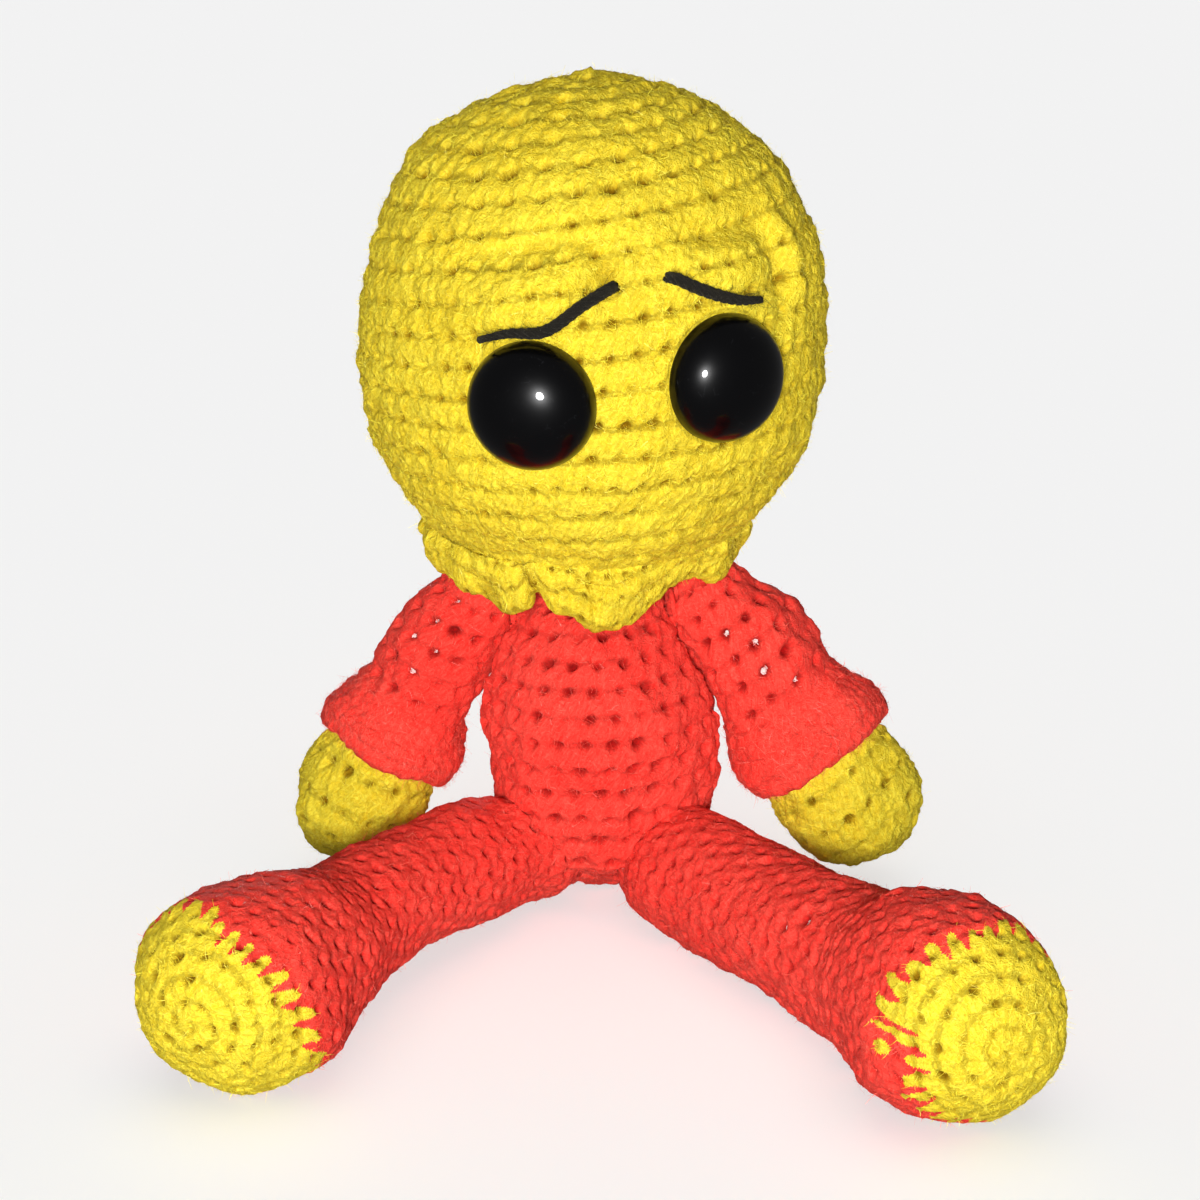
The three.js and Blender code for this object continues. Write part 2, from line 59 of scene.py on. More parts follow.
ARM_R, ELBOW_R, WRIST_R, SLEEVE_END, HAND_R, HAND_END = 10.0, 11.8, 11.0, 39.8, 13.8, 66.8
CUFF_R, CUFF_FROM, CUFF_TO = 16.4, 31.2, 45.4
HIP = {"left": (14.6, -12.5, 12.4), "right": (-14.6, -12.5, 12.4)}
HIP_R, LEG_R, ANKLE_R, FOOT_R, FOOT_TALL = 11.2, 12.8, 15.4, 18.4, 1.07
FOOT = {"left": (65.4, -93.4, 19.7), "right": (-66.2, -85.8, 19.7)}
TOE_AZ, TOE_UP, CAP_ANGLE = {"left": 17, "right": 21}, 6, 75
LEG_START = {"left": 31, "right": 45}
SIDE = {"left": 1, "right": -1}
# small differences of the stuffed fabric from the plain solids: leg line, arm slant
LEG_EASE = {"left": ((-0.4, 0.3, -2.2), (-0.8, -0.2, -4.6), (-1.8, -0.1, -0.5), 1.06, 1.02),
            "right": ((-2.8, 3.9, 5.2), (2.6, -1.6, -1.6), (0.8, 2.3, -0.9), 0.96, 0.99)}
ARM_LEAN = {"left": 0.0, "right": 2.4}
SWING = {"left": (-0.651557, -0.629202, -0.423767), "right": (-0.601807, 0.717206, 0.351344)}
# camera, mm and radians, in the photograph's 1200 x 1200 frame
CAM_AT, CAM_TILT, CAM_PAN, CAM_LENS = (0.0, -440.0, 214.5), 0.3277, 0.0009, 65.8


def V(*x):
    return np.array(x, float)


def unit(v):
    n = np.linalg.norm(v, axis=-1, keepdims=True)
    return v / np.maximum(n, 1e-12)


def smooth(x, a, b):
    t = np.clip((np.asarray(x, float) - a) / (b - a), 0, 1)
    return t * t * (3 - 2 * t)


def wrap(a):
    return (a + 180.0) % 360.0 - 180.0


def on_photo(p):
    """Where points in mm fall in the photograph's frame."""
    d = p - V(*CAM_AT)
    c, s = math.cos(CAM_PAN), math.sin(CAM_PAN)
    x, y = d[:, 0] * c - d[:, 1] * s, d[:, 0] * s + d[:, 1] * c
    deep = y * math.cos(CAM_TILT) - d[:, 2] * math.sin(CAM_TILT)
    up = y * math.sin(CAM_TILT) + d[:, 2] * math.cos(CAM_TILT)
    f = CAM_LENS / 36 * 1200
    return np.stack([600 + f * x / deep, 600 - f * up / deep], -1)


# ------------------------------------------------------------------ smooth noise without textures
def trim(p, *spots):
    """Small swellings and hollows in mm, each round a place (x, y, reach) of the photograph's frame."""
    seen = on_photo(p.reshape(-1, 3)).reshape(p.shape[:-1] + (2,))
    e = np.zeros(p.shape[:-1])
    for x, y, reach, amount in spots:
        e += amount * np.exp(-((seen[..., 0] - x) ** 2 + (seen[..., 1] - y) ** 2) / (1.1 * reach ** 2))
    return e


def lumps(p, scale, seed, n=24):
    """Soft bumpy field of points p (.., 3), about -1..1, bumps of about the given size in mm."""
    g = np.random.default_rng(seed)
    k = unit(g.normal(size=(n, 3))) * (TAU / scale) * g.uniform(0.55, 1.25, (n, 1))
    ph = g.uniform(0, TAU, n)
    return np.sin(p @ k.T + ph).sum(-1) / math.sqrt(n) * 0.9


# ------------------------------------------------------------------ worked surfaces
def along_profile(pts, count, smooth_it=True):
    """Resample a profile of (a, b) points at equal steps along its length, rounded through the points."""
    p = np.array(pts, float)
    if smooth_it and len(p) > 2:
        d = np.r_[0, np.cumsum(np.linalg.norm(np.diff(p, axis=0), axis=1))]
        m = np.zeros_like(p)
        m[1:-1] = (p[2:] - p[:-2]) / (d[2:] - d[:-2])[:, None]
        m[0] = (p[1] - p[0]) / (d[1] - d[0])
        m[-1] = (p[-1] - p[-2]) / (d[-1] - d[-2])
        q = np.linspace(0, d[-1], 1200)
        i = np.clip(np.searchsorted(d, q, side="right") - 1, 0, len(p) - 2)
        h = (d[i + 1] - d[i])[:, None]
        t = ((q - d[i]) / h[:, 0])[:, None]
        p = ((2 * t**3 - 3 * t**2 + 1) * p[i] + (t**3 - 2 * t**2 + t) * h * m[i]
             + (-2 * t**3 + 3 * t**2) * p[i + 1] + (t**3 - t**2) * h * m[i + 1])
    d = np.r_[0, np.cumsum(np.linalg.norm(np.diff(p, axis=0), axis=1))]
    q = np.linspace(0, d[-1], count)
    return np.stack([np.interp(q, d, p[:, 0]), np.interp(q, d, p[:, 1])], -1), d[-1]


class Cloth:
    """A table of points against turn (0..1, right-handed about the way it was worked) and distance s in mm."""

    def __init__(self, pos, length):
        self.pos, self.length = pos, length
        self.A, self.S = pos.shape[:2]
        du = np.roll(pos, -1, 0) - np.roll(pos, 1, 0)
        n = np.cross(du, np.gradient(pos, axis=1))
        centre = pos.mean(0, keepdims=True)
        if (n * (pos - centre)).sum() < 0:
            n = -n
        size = np.linalg.norm(n, axis=-1)
        thin = size < 0.02 * np.median(size)
        n = unit(n)
        n[thin] = 0
        for j in (0, self.S - 1):
            if thin[:, j].any():
                k = 3 if j == 0 else self.S - 4
                n[:, j] = unit(n[:, k].mean(0))
        for j in range(1, 3):
            bad = thin[:, j]
            n[bad, j] = n[bad, 0]
            bad = thin[:, -1 - j]
            n[bad, -1 - j] = n[bad, -1]
        for _ in range(2):
            n = unit(n + 0.5 * (np.roll(n, 1, 0) + np.roll(n, -1, 0)))
        self.nor = n

    def at(self, turn, s, h):
        a = (np.asarray(turn) % 1.0) * self.A
        b = np.clip(np.asarray(s) / self.length, 0, 1) * (self.S - 1)
        i0 = np.floor(a).astype(int) % self.A
        j0 = np.clip(np.floor(b).astype(int), 0, self.S - 2)
        fa, fb = (a - np.floor(a))[..., None], (b - j0)[..., None]
        i1 = (i0 + 1) % self.A

        def mix(t):
            return ((t[i0, j0] * (1 - fa) + t[i1, j0] * fa) * (1 - fb)
                    + (t[i0, j0 + 1] * (1 - fa) + t[i1, j0 + 1] * fa) * fb)

        n = unit(mix(self.nor))
        return mix(self.pos) + n * np.asarray(h)[..., None], n

    def round_at(self, s):
        j = int(np.clip(s / self.length, 0, 1) * (self.S - 1))
        ring = self.pos[:, j]
        return np.linalg.norm(np.roll(ring, -1, 0) - ring, axis=1).sum()


def basis(w):
    w = unit(np.asarray(w, float))
    u = np.cross(V(0, 0, 1), w)
    if np.linalg.norm(u) < 1e-6:
        u = V(1, 0, 0)
    u = unit(u)
    return u, np.cross(w, u), w


# ------------------------------------------------------------------ mesh making
class Bag:
    """Collects strands and shells of one piece, then makes one mesh of them."""

    def __init__(self):
        self.v, self.loops, self.sizes, self.mat = [], [], [], []
        self.fib, self.tone, self.deep = [], [], []
        self.n = 0

    def put(self, v, faces, fib=None, tone=0.5, deep=0.0, mat=0):
        """v (N, 3) in mm; faces is a list of integer arrays (M, corners)."""
        count = len(v)
        self.v.append(v)
        self.fib.append(np.zeros((count, 3)) if fib is None else fib)
        self.tone.append(np.broadcast_to(np.asarray(tone, float), (count,)))
        self.deep.append(np.broadcast_to(np.asarray(deep, float), (count,)))
        for f in faces:
            self.loops.append((f + self.n).ravel())
            self.sizes.append(np.full(len(f), f.shape[1]))
            self.mat.append(np.full(len(f), mat))
        self.n += count

    def tubes(self, C, R, N, sides=8, press=1.0, twist=0.9, tone=None, deep=0.0, post=None, seed=0, mat=0, closed=False):
        """Strands: centre lines C (M, K, 3), radii R (M, K), outward directions N (M, K, 3)."""
        M, K = C.shape[:2]
        if M == 0:
            return
        T = unit(np.gradient(C, axis=1))
        B = unit(np.cross(T, N))
        U = np.cross(B, T)
        th = np.arange(sides) / sides * TAU
        ring = (U[:, :, None] * (np.cos(th) * press)[None, None, :, None] + B[:, :, None] * np.sin(th)[None, None, :, None])
        v = C[:, :, None] + ring * np.broadcast_to(R, (M, K))[:, :, None, None]
        step = np.linalg.norm(np.diff(C, axis=1), axis=2)
        run = np.concatenate([np.zeros((M, 1)), np.cumsum(step, 1)], 1)
        g = np.random.default_rng(seed)
        own = g.uniform(0, 400, (M, 1))
        phi = th[None, None] + (run * twist + g.uniform(0, TAU, (M, 1)))[:, :, None]
        fib = np.stack([np.cos(phi), np.sin(phi), np.broadcast_to((run * 0.22 + own)[:, :, None], phi.shape)], -1)
        if tone is None:
            tone = g.uniform(0, 1, M)
        tone = np.broadcast_to(np.asarray(tone, float).reshape(-1, 1, 1) if np.ndim(tone) else tone, (M, K, sides))
        deep = np.broadcast_to(np.asarray(deep, float)[..., None] if np.ndim(deep) == 2 else deep, (M, K, sides))
        v = v.reshape(-1, 3)
        if post is not None:
            v = post(v)
        m, k, j = np.meshgrid(np.arange(M), np.arange(K - 1), np.arange(sides), indexing="ij")
        base = m * K * sides
        a = base + k * sides + j
        b = base + k * sides + (j + 1) % sides
        quads = np.stack([a, b, b + sides, a + sides], -1).reshape(-1, 4)
        start = (np.arange(M) * K * sides)[:, None]
        caps0 = start + np.r_[0, np.arange(sides - 1, 0, -1)][None]
        caps1 = start + (K - 1) * sides + np.arange(sides)[None]
        self.put(v, [quads, caps0, caps1], fib.reshape(-1, 3), tone.reshape(-1), deep.reshape(-1), mat)

    def hairs(self, P, W, width, tone=None, deep=0.0, seed=0, mat=0, post=None):
        """Loose fibres as thin bands: points P (M, K, 3), width direction W (M, K, 3)."""
        M, K = P.shape[:2]
        taper = np.linspace(1.0, 0.35, K)[None, :, None]
        v = np.stack([P - W * width * taper / 2, P + W * width * taper / 2], 2)
        g = np.random.default_rng(seed)
        if tone is None:
            tone = g.uniform(0, 1, M)
        tone = np.broadcast_to(np.asarray(tone, float).reshape(-1, 1, 1), (M, K, 2)).reshape(-1)
        fib = np.zeros((M, K, 2, 3))
        fib[..., 0] = 1
        fib[..., 2] = g.uniform(0, 400, (M, 1, 1)) + np.linspace(0, 1, K)[None, :, None]
        v = v.reshape(-1, 3)
        if post is not None:
            v = post(v)
        m, k = np.meshgrid(np.arange(M), np.arange(K - 1), indexing="ij")
        a = m * K * 2 + k * 2
        quads = np.stack([a, a + 1, a + 3, a + 2], -1).reshape(-1, 4)
        self.put(v, [quads], fib.reshape(-1, 3), tone, deep, mat)

    def sheet(self, pos, closed=True, tone=0.4, deep=1.0, mat=0, caps=True):
        """A plain shell of a table (A, S, 3)."""
        A, S = pos.shape[:2]
        i, j = np.meshgrid(np.arange(A), np.arange(S - 1), indexing="ij")
        a, b = i * S + j, ((i + 1) % A) * S + j
        quads = np.stack([a, b, b + 1, a + 1], -1).reshape(-1, 4)
        self.put(pos.reshape(-1, 3), [quads], None, tone, deep, mat)

    def make(self, name, materials):
        v = np.concatenate(self.v) * 0.001
        loops = np.concatenate(self.loops)
        sizes = np.concatenate(self.sizes)
        me = bpy.data.meshes.new(name)
        me.vertices.add(len(v))
        me.vertices.foreach_set("co", v.astype(np.float32).ravel())
        me.loops.add(len(loops))
        me.loops.foreach_set("vertex_index", loops.astype(np.int32))
        me.polygons.add(len(sizes))
        me.polygons.foreach_set("loop_start", np.r_[0, np.cumsum(sizes)[:-1]].astype(np.int32))
        me.update(calc_edges=True)
        # the deep attribute carries painted shade for pits, grooves and creases
        for key, data in (("tone", self.tone), ("deep", self.deep)):
            me.attributes.new(key, "FLOAT", "POINT").data.foreach_set("value", np.concatenate(data).astype(np.float32))
        me.attributes.new("fib", "FLOAT_VECTOR", "POINT").data.foreach_set("vector", np.concatenate(self.fib).astype(np.float32).ravel())
        me.polygons.foreach_set("use_smooth", np.ones(len(sizes), bool))
        for m in materials:
            me.materials.append(m)
        me.polygons.foreach_set("material_index", np.concatenate(self.mat).astype(np.int32))
        me.update()
        ob = bpy.data.objects.new(name, me)
        bpy.context.scene.collection.objects.link(ob)
        return ob


# ------------------------------------------------------------------ materials
def node_material(name):
    m = bpy.data.materials.new(name)
    m.use_nodes = True
    t = m.node_tree
    bsdf = next(n for n in t.nodes if n.type == "BSDF_PRINCIPLED")
    return m, t, bsdf


def add_node(t, kind, **sockets):
    n = t.nodes.new(kind)
    for k, val in sockets.items():
        if k in ("operation", "blend_type", "data_type", "attribute_name", "noise_dimensions", "feature", "distance_metric"):
            setattr(n, k, val)
        else:
            n.inputs[k.replace("_", " ")].default_value = val
    return n


def mathn(t, op, a, b=None, c=None, clamp=False):
    n = t.nodes.new("ShaderNodeMath")
    n.operation = op
    n.use_clamp = clamp
    for i, x in enumerate((a, b, c)):
        if x is None:
            continue
        if isinstance(x, (int, float)):
            n.inputs[i].default_value = x
        else:
            t.links.new(x, n.inputs[i])
    return n.outputs[0]


def mixc(t, fac, a, b, blend="MIX"):
    n = t.nodes.new("ShaderNodeMix")
    n.data_type = "RGBA"
    n.blend_type = blend
    for sock, x in ((n.inputs[0], fac), (n.inputs[6], a), (n.inputs[7], b)):
        if isinstance(x, (int, float)):
            sock.default_value = x
        elif isinstance(x, tuple):
            sock.default_value = (*x, 1.0)
        else:
            t.links.new(x, sock)
    return n.outputs[2]


def lin(r, g, b):
    f = lambda c: (c / 255 / 12.92) if c / 255 <= 0.04045 else ((c / 255 + 0.055) / 1.055) ** 2.4
    return (f(r), f(g), f(b))


def yarn(name, body, light, dark, deep, sheen, sheen_tint, bump=0.55, rough=0.78, patch=0.25, keep=.34, mottle=.35, spec=.25):
    """Acrylic yarn: fibre streaks and plies that follow each strand, tone from strand to strand, and painted shade in
    the gaps.
    """
    m, t, b = node_material(name)
    fib = add_node(t, "ShaderNodeAttribute", attribute_name="fib").outputs["Vector"]
    tone = add_node(t, "ShaderNodeAttribute", attribute_name="tone").outputs["Fac"]
    low = add_node(t, "ShaderNodeAttribute", attribute_name="deep").outputs["Fac"]
    sep = t.nodes.new("ShaderNodeSeparateXYZ")
    t.links.new(fib, sep.inputs[0])
    ply = mathn(t, "COSINE", mathn(t, "MULTIPLY", sep.outputs[0], 5.2))
    streak = add_node(t, "ShaderNodeTexNoise", Scale=1.7, Detail=4.0, Roughness=0.7)
    t.links.new(fib, streak.inputs["Vector"])
    fine = add_node(t, "ShaderNodeTexNoise", Scale=5.0, Detail=2.0, Roughness=0.6)
    t.links.new(fib, fine.inputs["Vector"])
    co = t.nodes.new("ShaderNodeTexCoord").outputs["Object"]
    big = add_node(t, "ShaderNodeTexNoise", Scale=55.0, Detail=3.0, Roughness=0.6)
    t.links.new(co, big.inputs["Vector"])
    grain = add_node(t, "ShaderNodeTexNoise", Scale=900.0, Detail=3.0, Roughness=0.75)
    t.links.new(co, grain.inputs["Vector"])
    s = mathn(t, "MULTIPLY_ADD", streak.outputs["Fac"], 3.2, -1.1, clamp=True)
    f = mathn(t, "MULTIPLY_ADD", fine.outputs["Fac"], 3.0, -1.0, clamp=True)
    both = mathn(t, "ADD", mathn(t, "MULTIPLY", s, 0.6), mathn(t, "MULTIPLY", f, 0.4))
    c = mixc(t, both, dark, light)
    c = mixc(t, keep, c, body)
    fuzz = add_node(t, "ShaderNodeTexNoise", Scale=820.0, Detail=3.0, Roughness=0.65, Distortion=2.2)
    t.links.new(co, fuzz.inputs["Vector"])
    spots = mathn(t, "MULTIPLY_ADD", fuzz.outputs["Fac"], 5.0, -2.55, clamp=True)
    gaps = mathn(t, "MULTIPLY_ADD", fuzz.outputs["Fac"], -5.5, 2.45, clamp=True)
    c = mixc(t, mathn(t, "MULTIPLY", gaps, mottle * .62), c, dark)
    c = mixc(t, mathn(t, "MULTIPLY", spots, mottle), c, light)
    c = mixc(t, mathn(t, "MULTIPLY", tone, 0.16), c, light)
    c = mixc(t, mathn(t, "MULTIPLY", mathn(t, "MULTIPLY_ADD", big.outputs["Fac"], 3.0, -1.0, clamp=True), patch), c, dark)
    # painted shade: mix towards the deep colour where the deep attribute marks pits, grooves and creases
    c = mixc(t, mathn(t, "MULTIPLY", low, 0.95), c, deep)
    t.links.new(c, b.inputs["Base Color"])
    r = mathn(t, "MULTIPLY_ADD", both, -0.22, rough + 0.12)
    t.links.new(r, b.inputs["Roughness"])
    h = mathn(t, "ADD", mathn(t, "MULTIPLY", both, 0.16),
              mathn(t, "ADD", mathn(t, "MULTIPLY", ply, 0.05), mathn(t, "MULTIPLY", grain.outputs["Fac"], 0.7)))
    h = mathn(t, "ADD", h, mathn(t, "MULTIPLY", fuzz.outputs["Fac"], 1.7))
    bp = add_node(t, "ShaderNodeBump", Strength=bump, Distance=0.00042)
    t.links.new(h, bp.inputs["Height"])
    t.links.new(bp.outputs[0], b.inputs["Normal"])
    b.inputs["Sheen Weight"].default_value = sheen
    b.inputs["Sheen Roughness"].default_value = 0.45
    b.inputs["Sheen Tint"].default_value = (*sheen_tint, 1)
    b.inputs["Specular IOR Level"].default_value = spec
    return m


# the fourth colour of each yarn is its painted shade colour for pits, grooves and creases
YELLOW = yarn("yellow_yarn", lin(248, 213, 6), lin(255, 241, 84), lin(200, 156, 0), lin(134, 94, 0), 0.02, (0.95, 0.90, 0.05), bump=.9, patch=.24, mottle=.78, spec=.08)
RED = yarn("red_yarn", lin(252, 34, 25), lin(255, 100, 84), lin(228, 8, 6), lin(160, 0, 2), 0.06, (1.0, 0.30, 0.22), bump=.8, mottle=.70, spec=.14)
BLACK = yarn("black_yarn", lin(16, 13, 9), lin(34, 30, 20), lin(6, 5, 4), lin(3, 3, 2), 0.10, (0.7, 0.65, 0.5), bump=0.8)


def fibre(name, light, mid, rough=.42):
    """Loose fibre ends: glossier than the strand they come from, with a brighter colour that is a painted glint."""
    m, t, b = node_material(name)
    tone = add_node(t, "ShaderNodeAttribute", attribute_name="tone").outputs["Fac"]
    fib = add_node(t, "ShaderNodeAttribute", attribute_name="fib").outputs["Vector"]
    n = add_node(t, "ShaderNodeTexNoise", Scale=3.0, Detail=2.0)
    t.links.new(fib, n.inputs["Vector"])
    t.links.new(mixc(t, mathn(t, "ADD", mathn(t, "MULTIPLY", tone, .75), mathn(t, "MULTIPLY", n.outputs["Fac"], .25)), mid, light), b.inputs["Base Color"])
    t.links.new(mathn(t, "MULTIPLY_ADD", n.outputs["Fac"], .2, rough - .1), b.inputs["Roughness"])
    bp = add_node(t, "ShaderNodeBump", Strength=.2, Distance=.0001)
    t.links.new(n.outputs["Fac"], bp.inputs["Height"])
    t.links.new(bp.outputs[0], b.inputs["Normal"])
    b.inputs["Specular IOR Level"].default_value = .38
    b.inputs["Sheen Weight"].default_value = .1
    return m


YELLOW_ENDS = fibre("yellow_fibre", lin(255, 248, 80), lin(248, 216, 14))
RED_ENDS = fibre("red_fibre", lin(255, 118, 98), lin(240, 40, 32))
BLACK_ENDS = fibre("black_fibre", lin(58, 52, 36), lin(20, 17, 12))


def fill_material():
    m, t, b = node_material("fibre_fill")
    co = t.nodes.new("ShaderNodeTexCoord").outputs["Object"]
    n = add_node(t, "ShaderNodeTexNoise", Scale=420.0, Detail=6.0, Roughness=0.75, Distortion=2.5)
    t.links.new(co, n.inputs["Vector"])
    w = add_node(t, "ShaderNodeTexVoronoi", Scale=900.0)
    t.links.new(co, w.inputs["Vector"])
    h = mathn(t, "ADD", n.outputs["Fac"], mathn(t, "MULTIPLY", w.outputs["Distance"], 0.5))
    c = mixc(t, n.outputs["Fac"], lin(214, 206, 200), lin(255, 252, 248))
    t.links.new(c, b.inputs["Base Color"])
    b.inputs["Roughness"].default_value = 0.6
    b.inputs["Sheen Weight"].default_value = 0.5
    bp = add_node(t, "ShaderNodeBump", Strength=0.9, Distance=0.0006)
    t.links.new(h, bp.inputs["Height"])
    t.links.new(bp.outputs[0], b.inputs["Normal"])
    return m


def gloss_material():
    m, t, b = node_material("black_gloss")
    co = t.nodes.new("ShaderNodeTexCoord").outputs["Object"]
    n = add_node(t, "ShaderNodeTexNoise", Scale=300.0, Detail=5.0, Roughness=0.7)
    t.links.new(co, n.inputs["Vector"])
    sc = add_node(t, "ShaderNodeTexVoronoi", Scale=520.0, feature="DISTANCE_TO_EDGE")
    t.links.new(co, sc.inputs["Vector"])
    line = mathn(t, "LESS_THAN", sc.outputs["Distance"], 0.006)
    rare = mathn(t, "GREATER_THAN", n.outputs["Fac"], 0.60)
    mark = mathn(t, "MULTIPLY", line, rare)
    c = mixc(t, mathn(t, "MULTIPLY", mark, 0.35), lin(3, 3, 4), lin(60, 62, 66))
    t.links.new(c, b.inputs["Base Color"])
    r = mathn(t, "ADD", mathn(t, "MULTIPLY_ADD", n.outputs["Fac"], 0.08, 0.26), mathn(t, "MULTIPLY", mark, 0.2))
    t.links.new(r, b.inputs["Roughness"])
    bp = add_node(t, "ShaderNodeBump", Strength=0.05, Distance=0.0002)
    t.links.new(n.outputs["Fac"], bp.inputs["Height"])
    t.links.new(bp.outputs[0], b.inputs["Normal"])
    b.inputs["Specular IOR Level"].default_value = 0.13
    b.inputs["Coat Weight"].default_value = 0.35
    b.inputs["Coat Roughness"].default_value = 0.04
    return m


def washer_material():
    m, t, b = node_material("white_plastic")
    co = t.nodes.new("ShaderNodeTexCoord").outputs["Object"]
    n = add_node(t, "ShaderNodeTexNoise", Scale=180.0, Detail=4.0, Roughness=0.6)
    t.links.new(co, n.inputs["Vector"])
    t.links.new(mixc(t, n.outputs["Fac"], lin(222, 220, 214), lin(240, 238, 232)), b.inputs["Base Color"])
    t.links.new(mathn(t, "MULTIPLY_ADD", n.outputs["Fac"], 0.2, 0.35), b.inputs["Roughness"])
    bp = add_node(t, "ShaderNodeBump", Strength=0.15, Distance=0.0002)
    t.links.new(n.outputs["Fac"], bp.inputs["Height"])
    t.links.new(bp.outputs[0], b.inputs["Normal"])
    return m


FILL, GLOSS, WASHER = fill_material(), gloss_material(), washer_material()
# the white fill of the tufts is painted as seen in shade, greyed and tinted pink by red light from the yarn round them
TUFT_IN_PAINTED_SHADE = fibre("fibre_fill_tuft_painted_shade", lin(252, 240, 236), lin(206, 158, 150))


# ------------------------------------------------------------------ stitches
def edge(x, power):
    return np.abs(x) ** power


class Weave:
    """Crocheted fabric on a cloth: one spiral of stitches, each of two plump strands, a loop behind them and a small pit above."""

    def __init__(self, cloth, counts, s0=0.0, s1=None, lean=.2, seam=.5, res=.42, warp=None, seed=1, ridge=.95, pit=2.3, leg=(.16, .29),
                 slant=.12, jitter=1.0, lump=.25, proud=.2, bar=.62, k=.20, post=None, pit_size=1.0, grain=.09, rho=1.15, uneven=None,
                 relief=None, groove_shade=.30):
        s1 = cloth.length if s1 is None else s1
        rows = len(counts)
        H = (s1 - s0) / rows
        g = np.random.default_rng(seed)
        pad = 3
        m = np.r_[[counts[0]] * pad, counts, [counts[-1]] * pad].astype(float) - lean
        U0 = np.r_[0, np.cumsum(m)][:-1]
        total = int(m.sum()) + 12
        jx, jy = g.normal(0, .030, total) * jitter, g.normal(0, .16, total) * jitter
        jh, jp = g.normal(0, .16, (2, total)) * jitter, np.clip(g.normal(1, .28, total), .25, 1.5)
        js = np.clip(g.normal(1, .14, total), .7, 1.35)
        tone_of = g.uniform(0, 1, total)
        NR = int((s1 - s0) / res) + 2
        lo_s = max(s0, .35)
        S = np.linspace(lo_s, s1, NR)
        circ = np.array([cloth.round_at(x) for x in S])
        self.n = np.maximum(10, np.round(circ / res)).astype(int)
        turn = np.concatenate([np.arange(c) / c for c in self.n])
        ss = np.repeat(S, self.n)
        round_mm = np.repeat(circ, self.n)
        sp = ss if warp is None else ss - warp(turn, ss)
        q = (turn - seam) % 1.0
        vt = (sp - s0) / H - q
        row = np.floor(vt).astype(int)
        v = vt - row
        get = lambda r: np.clip(r + pad, 0, len(m) - 1)
        E = np.zeros(len(turn))
        best = np.full(len(turn), -99.0)
        fx, fa, fid = np.zeros(len(turn)), np.zeros(len(turn)), np.zeros(len(turn))
        W = round_mm / m[get(row)]
        small = np.clip(W / 5.6, .35, 1.2)
        for dr in (-1, 0, 1):
            r = get(row + dr)
            vv = v - dr
            Ur = U0[r] + q * m[r]
            idx = np.floor(Ur).astype(int)
            uc = Ur - idx - .5
            Wr = round_mm / m[r]
            run = edge(2 * vv - 1, 3.0) * ridge
            for kx in (-1, 0, 1):
                ident = np.clip(idx + kx, 0, total - 1)
                for i, sg in enumerate((-1, 1)):
                    c = kx + sg * (leg[0] + (leg[1] - leg[0]) * np.clip(vv, -.25, 1.25)) + slant * (vv - .5) + jx[ident]
                    d = (uc - c) * Wr
                    h = -run + jh[i][ident] - d * d / (2 * rho * small)
                    E += np.exp(np.clip(h / k, -60, 20))
                    better = h > best
                    best = np.where(better, h, best)
                    fx, fa, fid = np.where(better, d, fx), np.where(better, vv * H, fa), np.where(better, ident * 2 + i, fid)
        for up in (0, 1):
            r = get(row - 1 + up)
            Ur = U0[r] + q * m[r]
            e = (v - up) * H + .38 * np.sin(TAU * Ur)
            ident = np.clip(np.floor(Ur + .5).astype(int), 0, total - 1)
            h = -bar + jh[0][ident] * .6 - e * e / (2 * .95)
            E += np.exp(np.clip(h / k, -60, 20))
            better = h > best
            best = np.where(better, h, best)
            fx, fa, fid = np.where(better, e, fx), np.where(better, Ur * W, fa), np.where(better, ident * 2 + 900, fid)
        hgt = k * np.log(E)
        hole = np.zeros(len(turn))
        for up in (0, 1):
            r = get(row - 1 + up)
            Ur = U0[r] + q * m[r]
            idx = np.floor(Ur).astype(int)
            ident = np.clip(idx, 0, total - 1)
            dy = (v - up) * H + .35 + jy[ident]
            dx = (Ur - idx - .5 - slant * .5 - jx[ident]) * W - .30 * dy
            size = pit_size * js[ident] * small
            wide = 1.0 + .22 * np.clip(dy, -1.5, 1.5)
            hole += jp[ident] * np.exp(-((dx / (1.02 * size * wide)) ** 2 + (dy / (.88 * size)) ** 2) ** 1.15)
        scale = np.ones(len(turn))
        base, _ = cloth.at(turn, ss, np.zeros(len(turn)))
        if relief is not None:
            scale = relief(base, turn, ss)
        pit_amount = pit * (.92 + .28 * lumps(base, 26.0, seed + 7))
        pit_amount = np.clip(pit_amount, .3 * pit, 1.35 * pit)
        height = hgt * scale - pit_amount * hole * scale + lump * lumps(base, 11.0, 5) + grain * lumps(base, 1.7, seed + 3) + grain * .8 * lumps(base, 3.4, seed + 4)
        # creases pressed in by uneven get painted shade as well
        crease_shade = 0.0
        if uneven is not None:
            dent = uneven(base, turn, ss)
            height = height + dent
            crease_shade = .75 * smooth(-dent, .55, 1.7)
        self.relief = height
        co, nor = cloth.at(turn, ss, height + proud)
        self.raw = co
        self.co = co if post is None else post(co)
        self.nor = nor
        e1, _ = cloth.at(turn, np.clip(ss + .4, 0, cloth.length), height + proud)
        e0, _ = cloth.at(turn, np.clip(ss - .4, 0, cloth.length), height + proud)
        self.run = unit(e1 - e0)
        self.side = unit(np.cross(nor, self.run))
        self.turn, self.s, self.vt, self.q = turn, ss, vt, q
        r = get(row)
        Ur = U0[r] + q * m[r]
        self.u, self.row, self.v = Ur - np.floor(Ur) - .5, row, v
        self.hole = np.clip(hole, 0, 1.3)
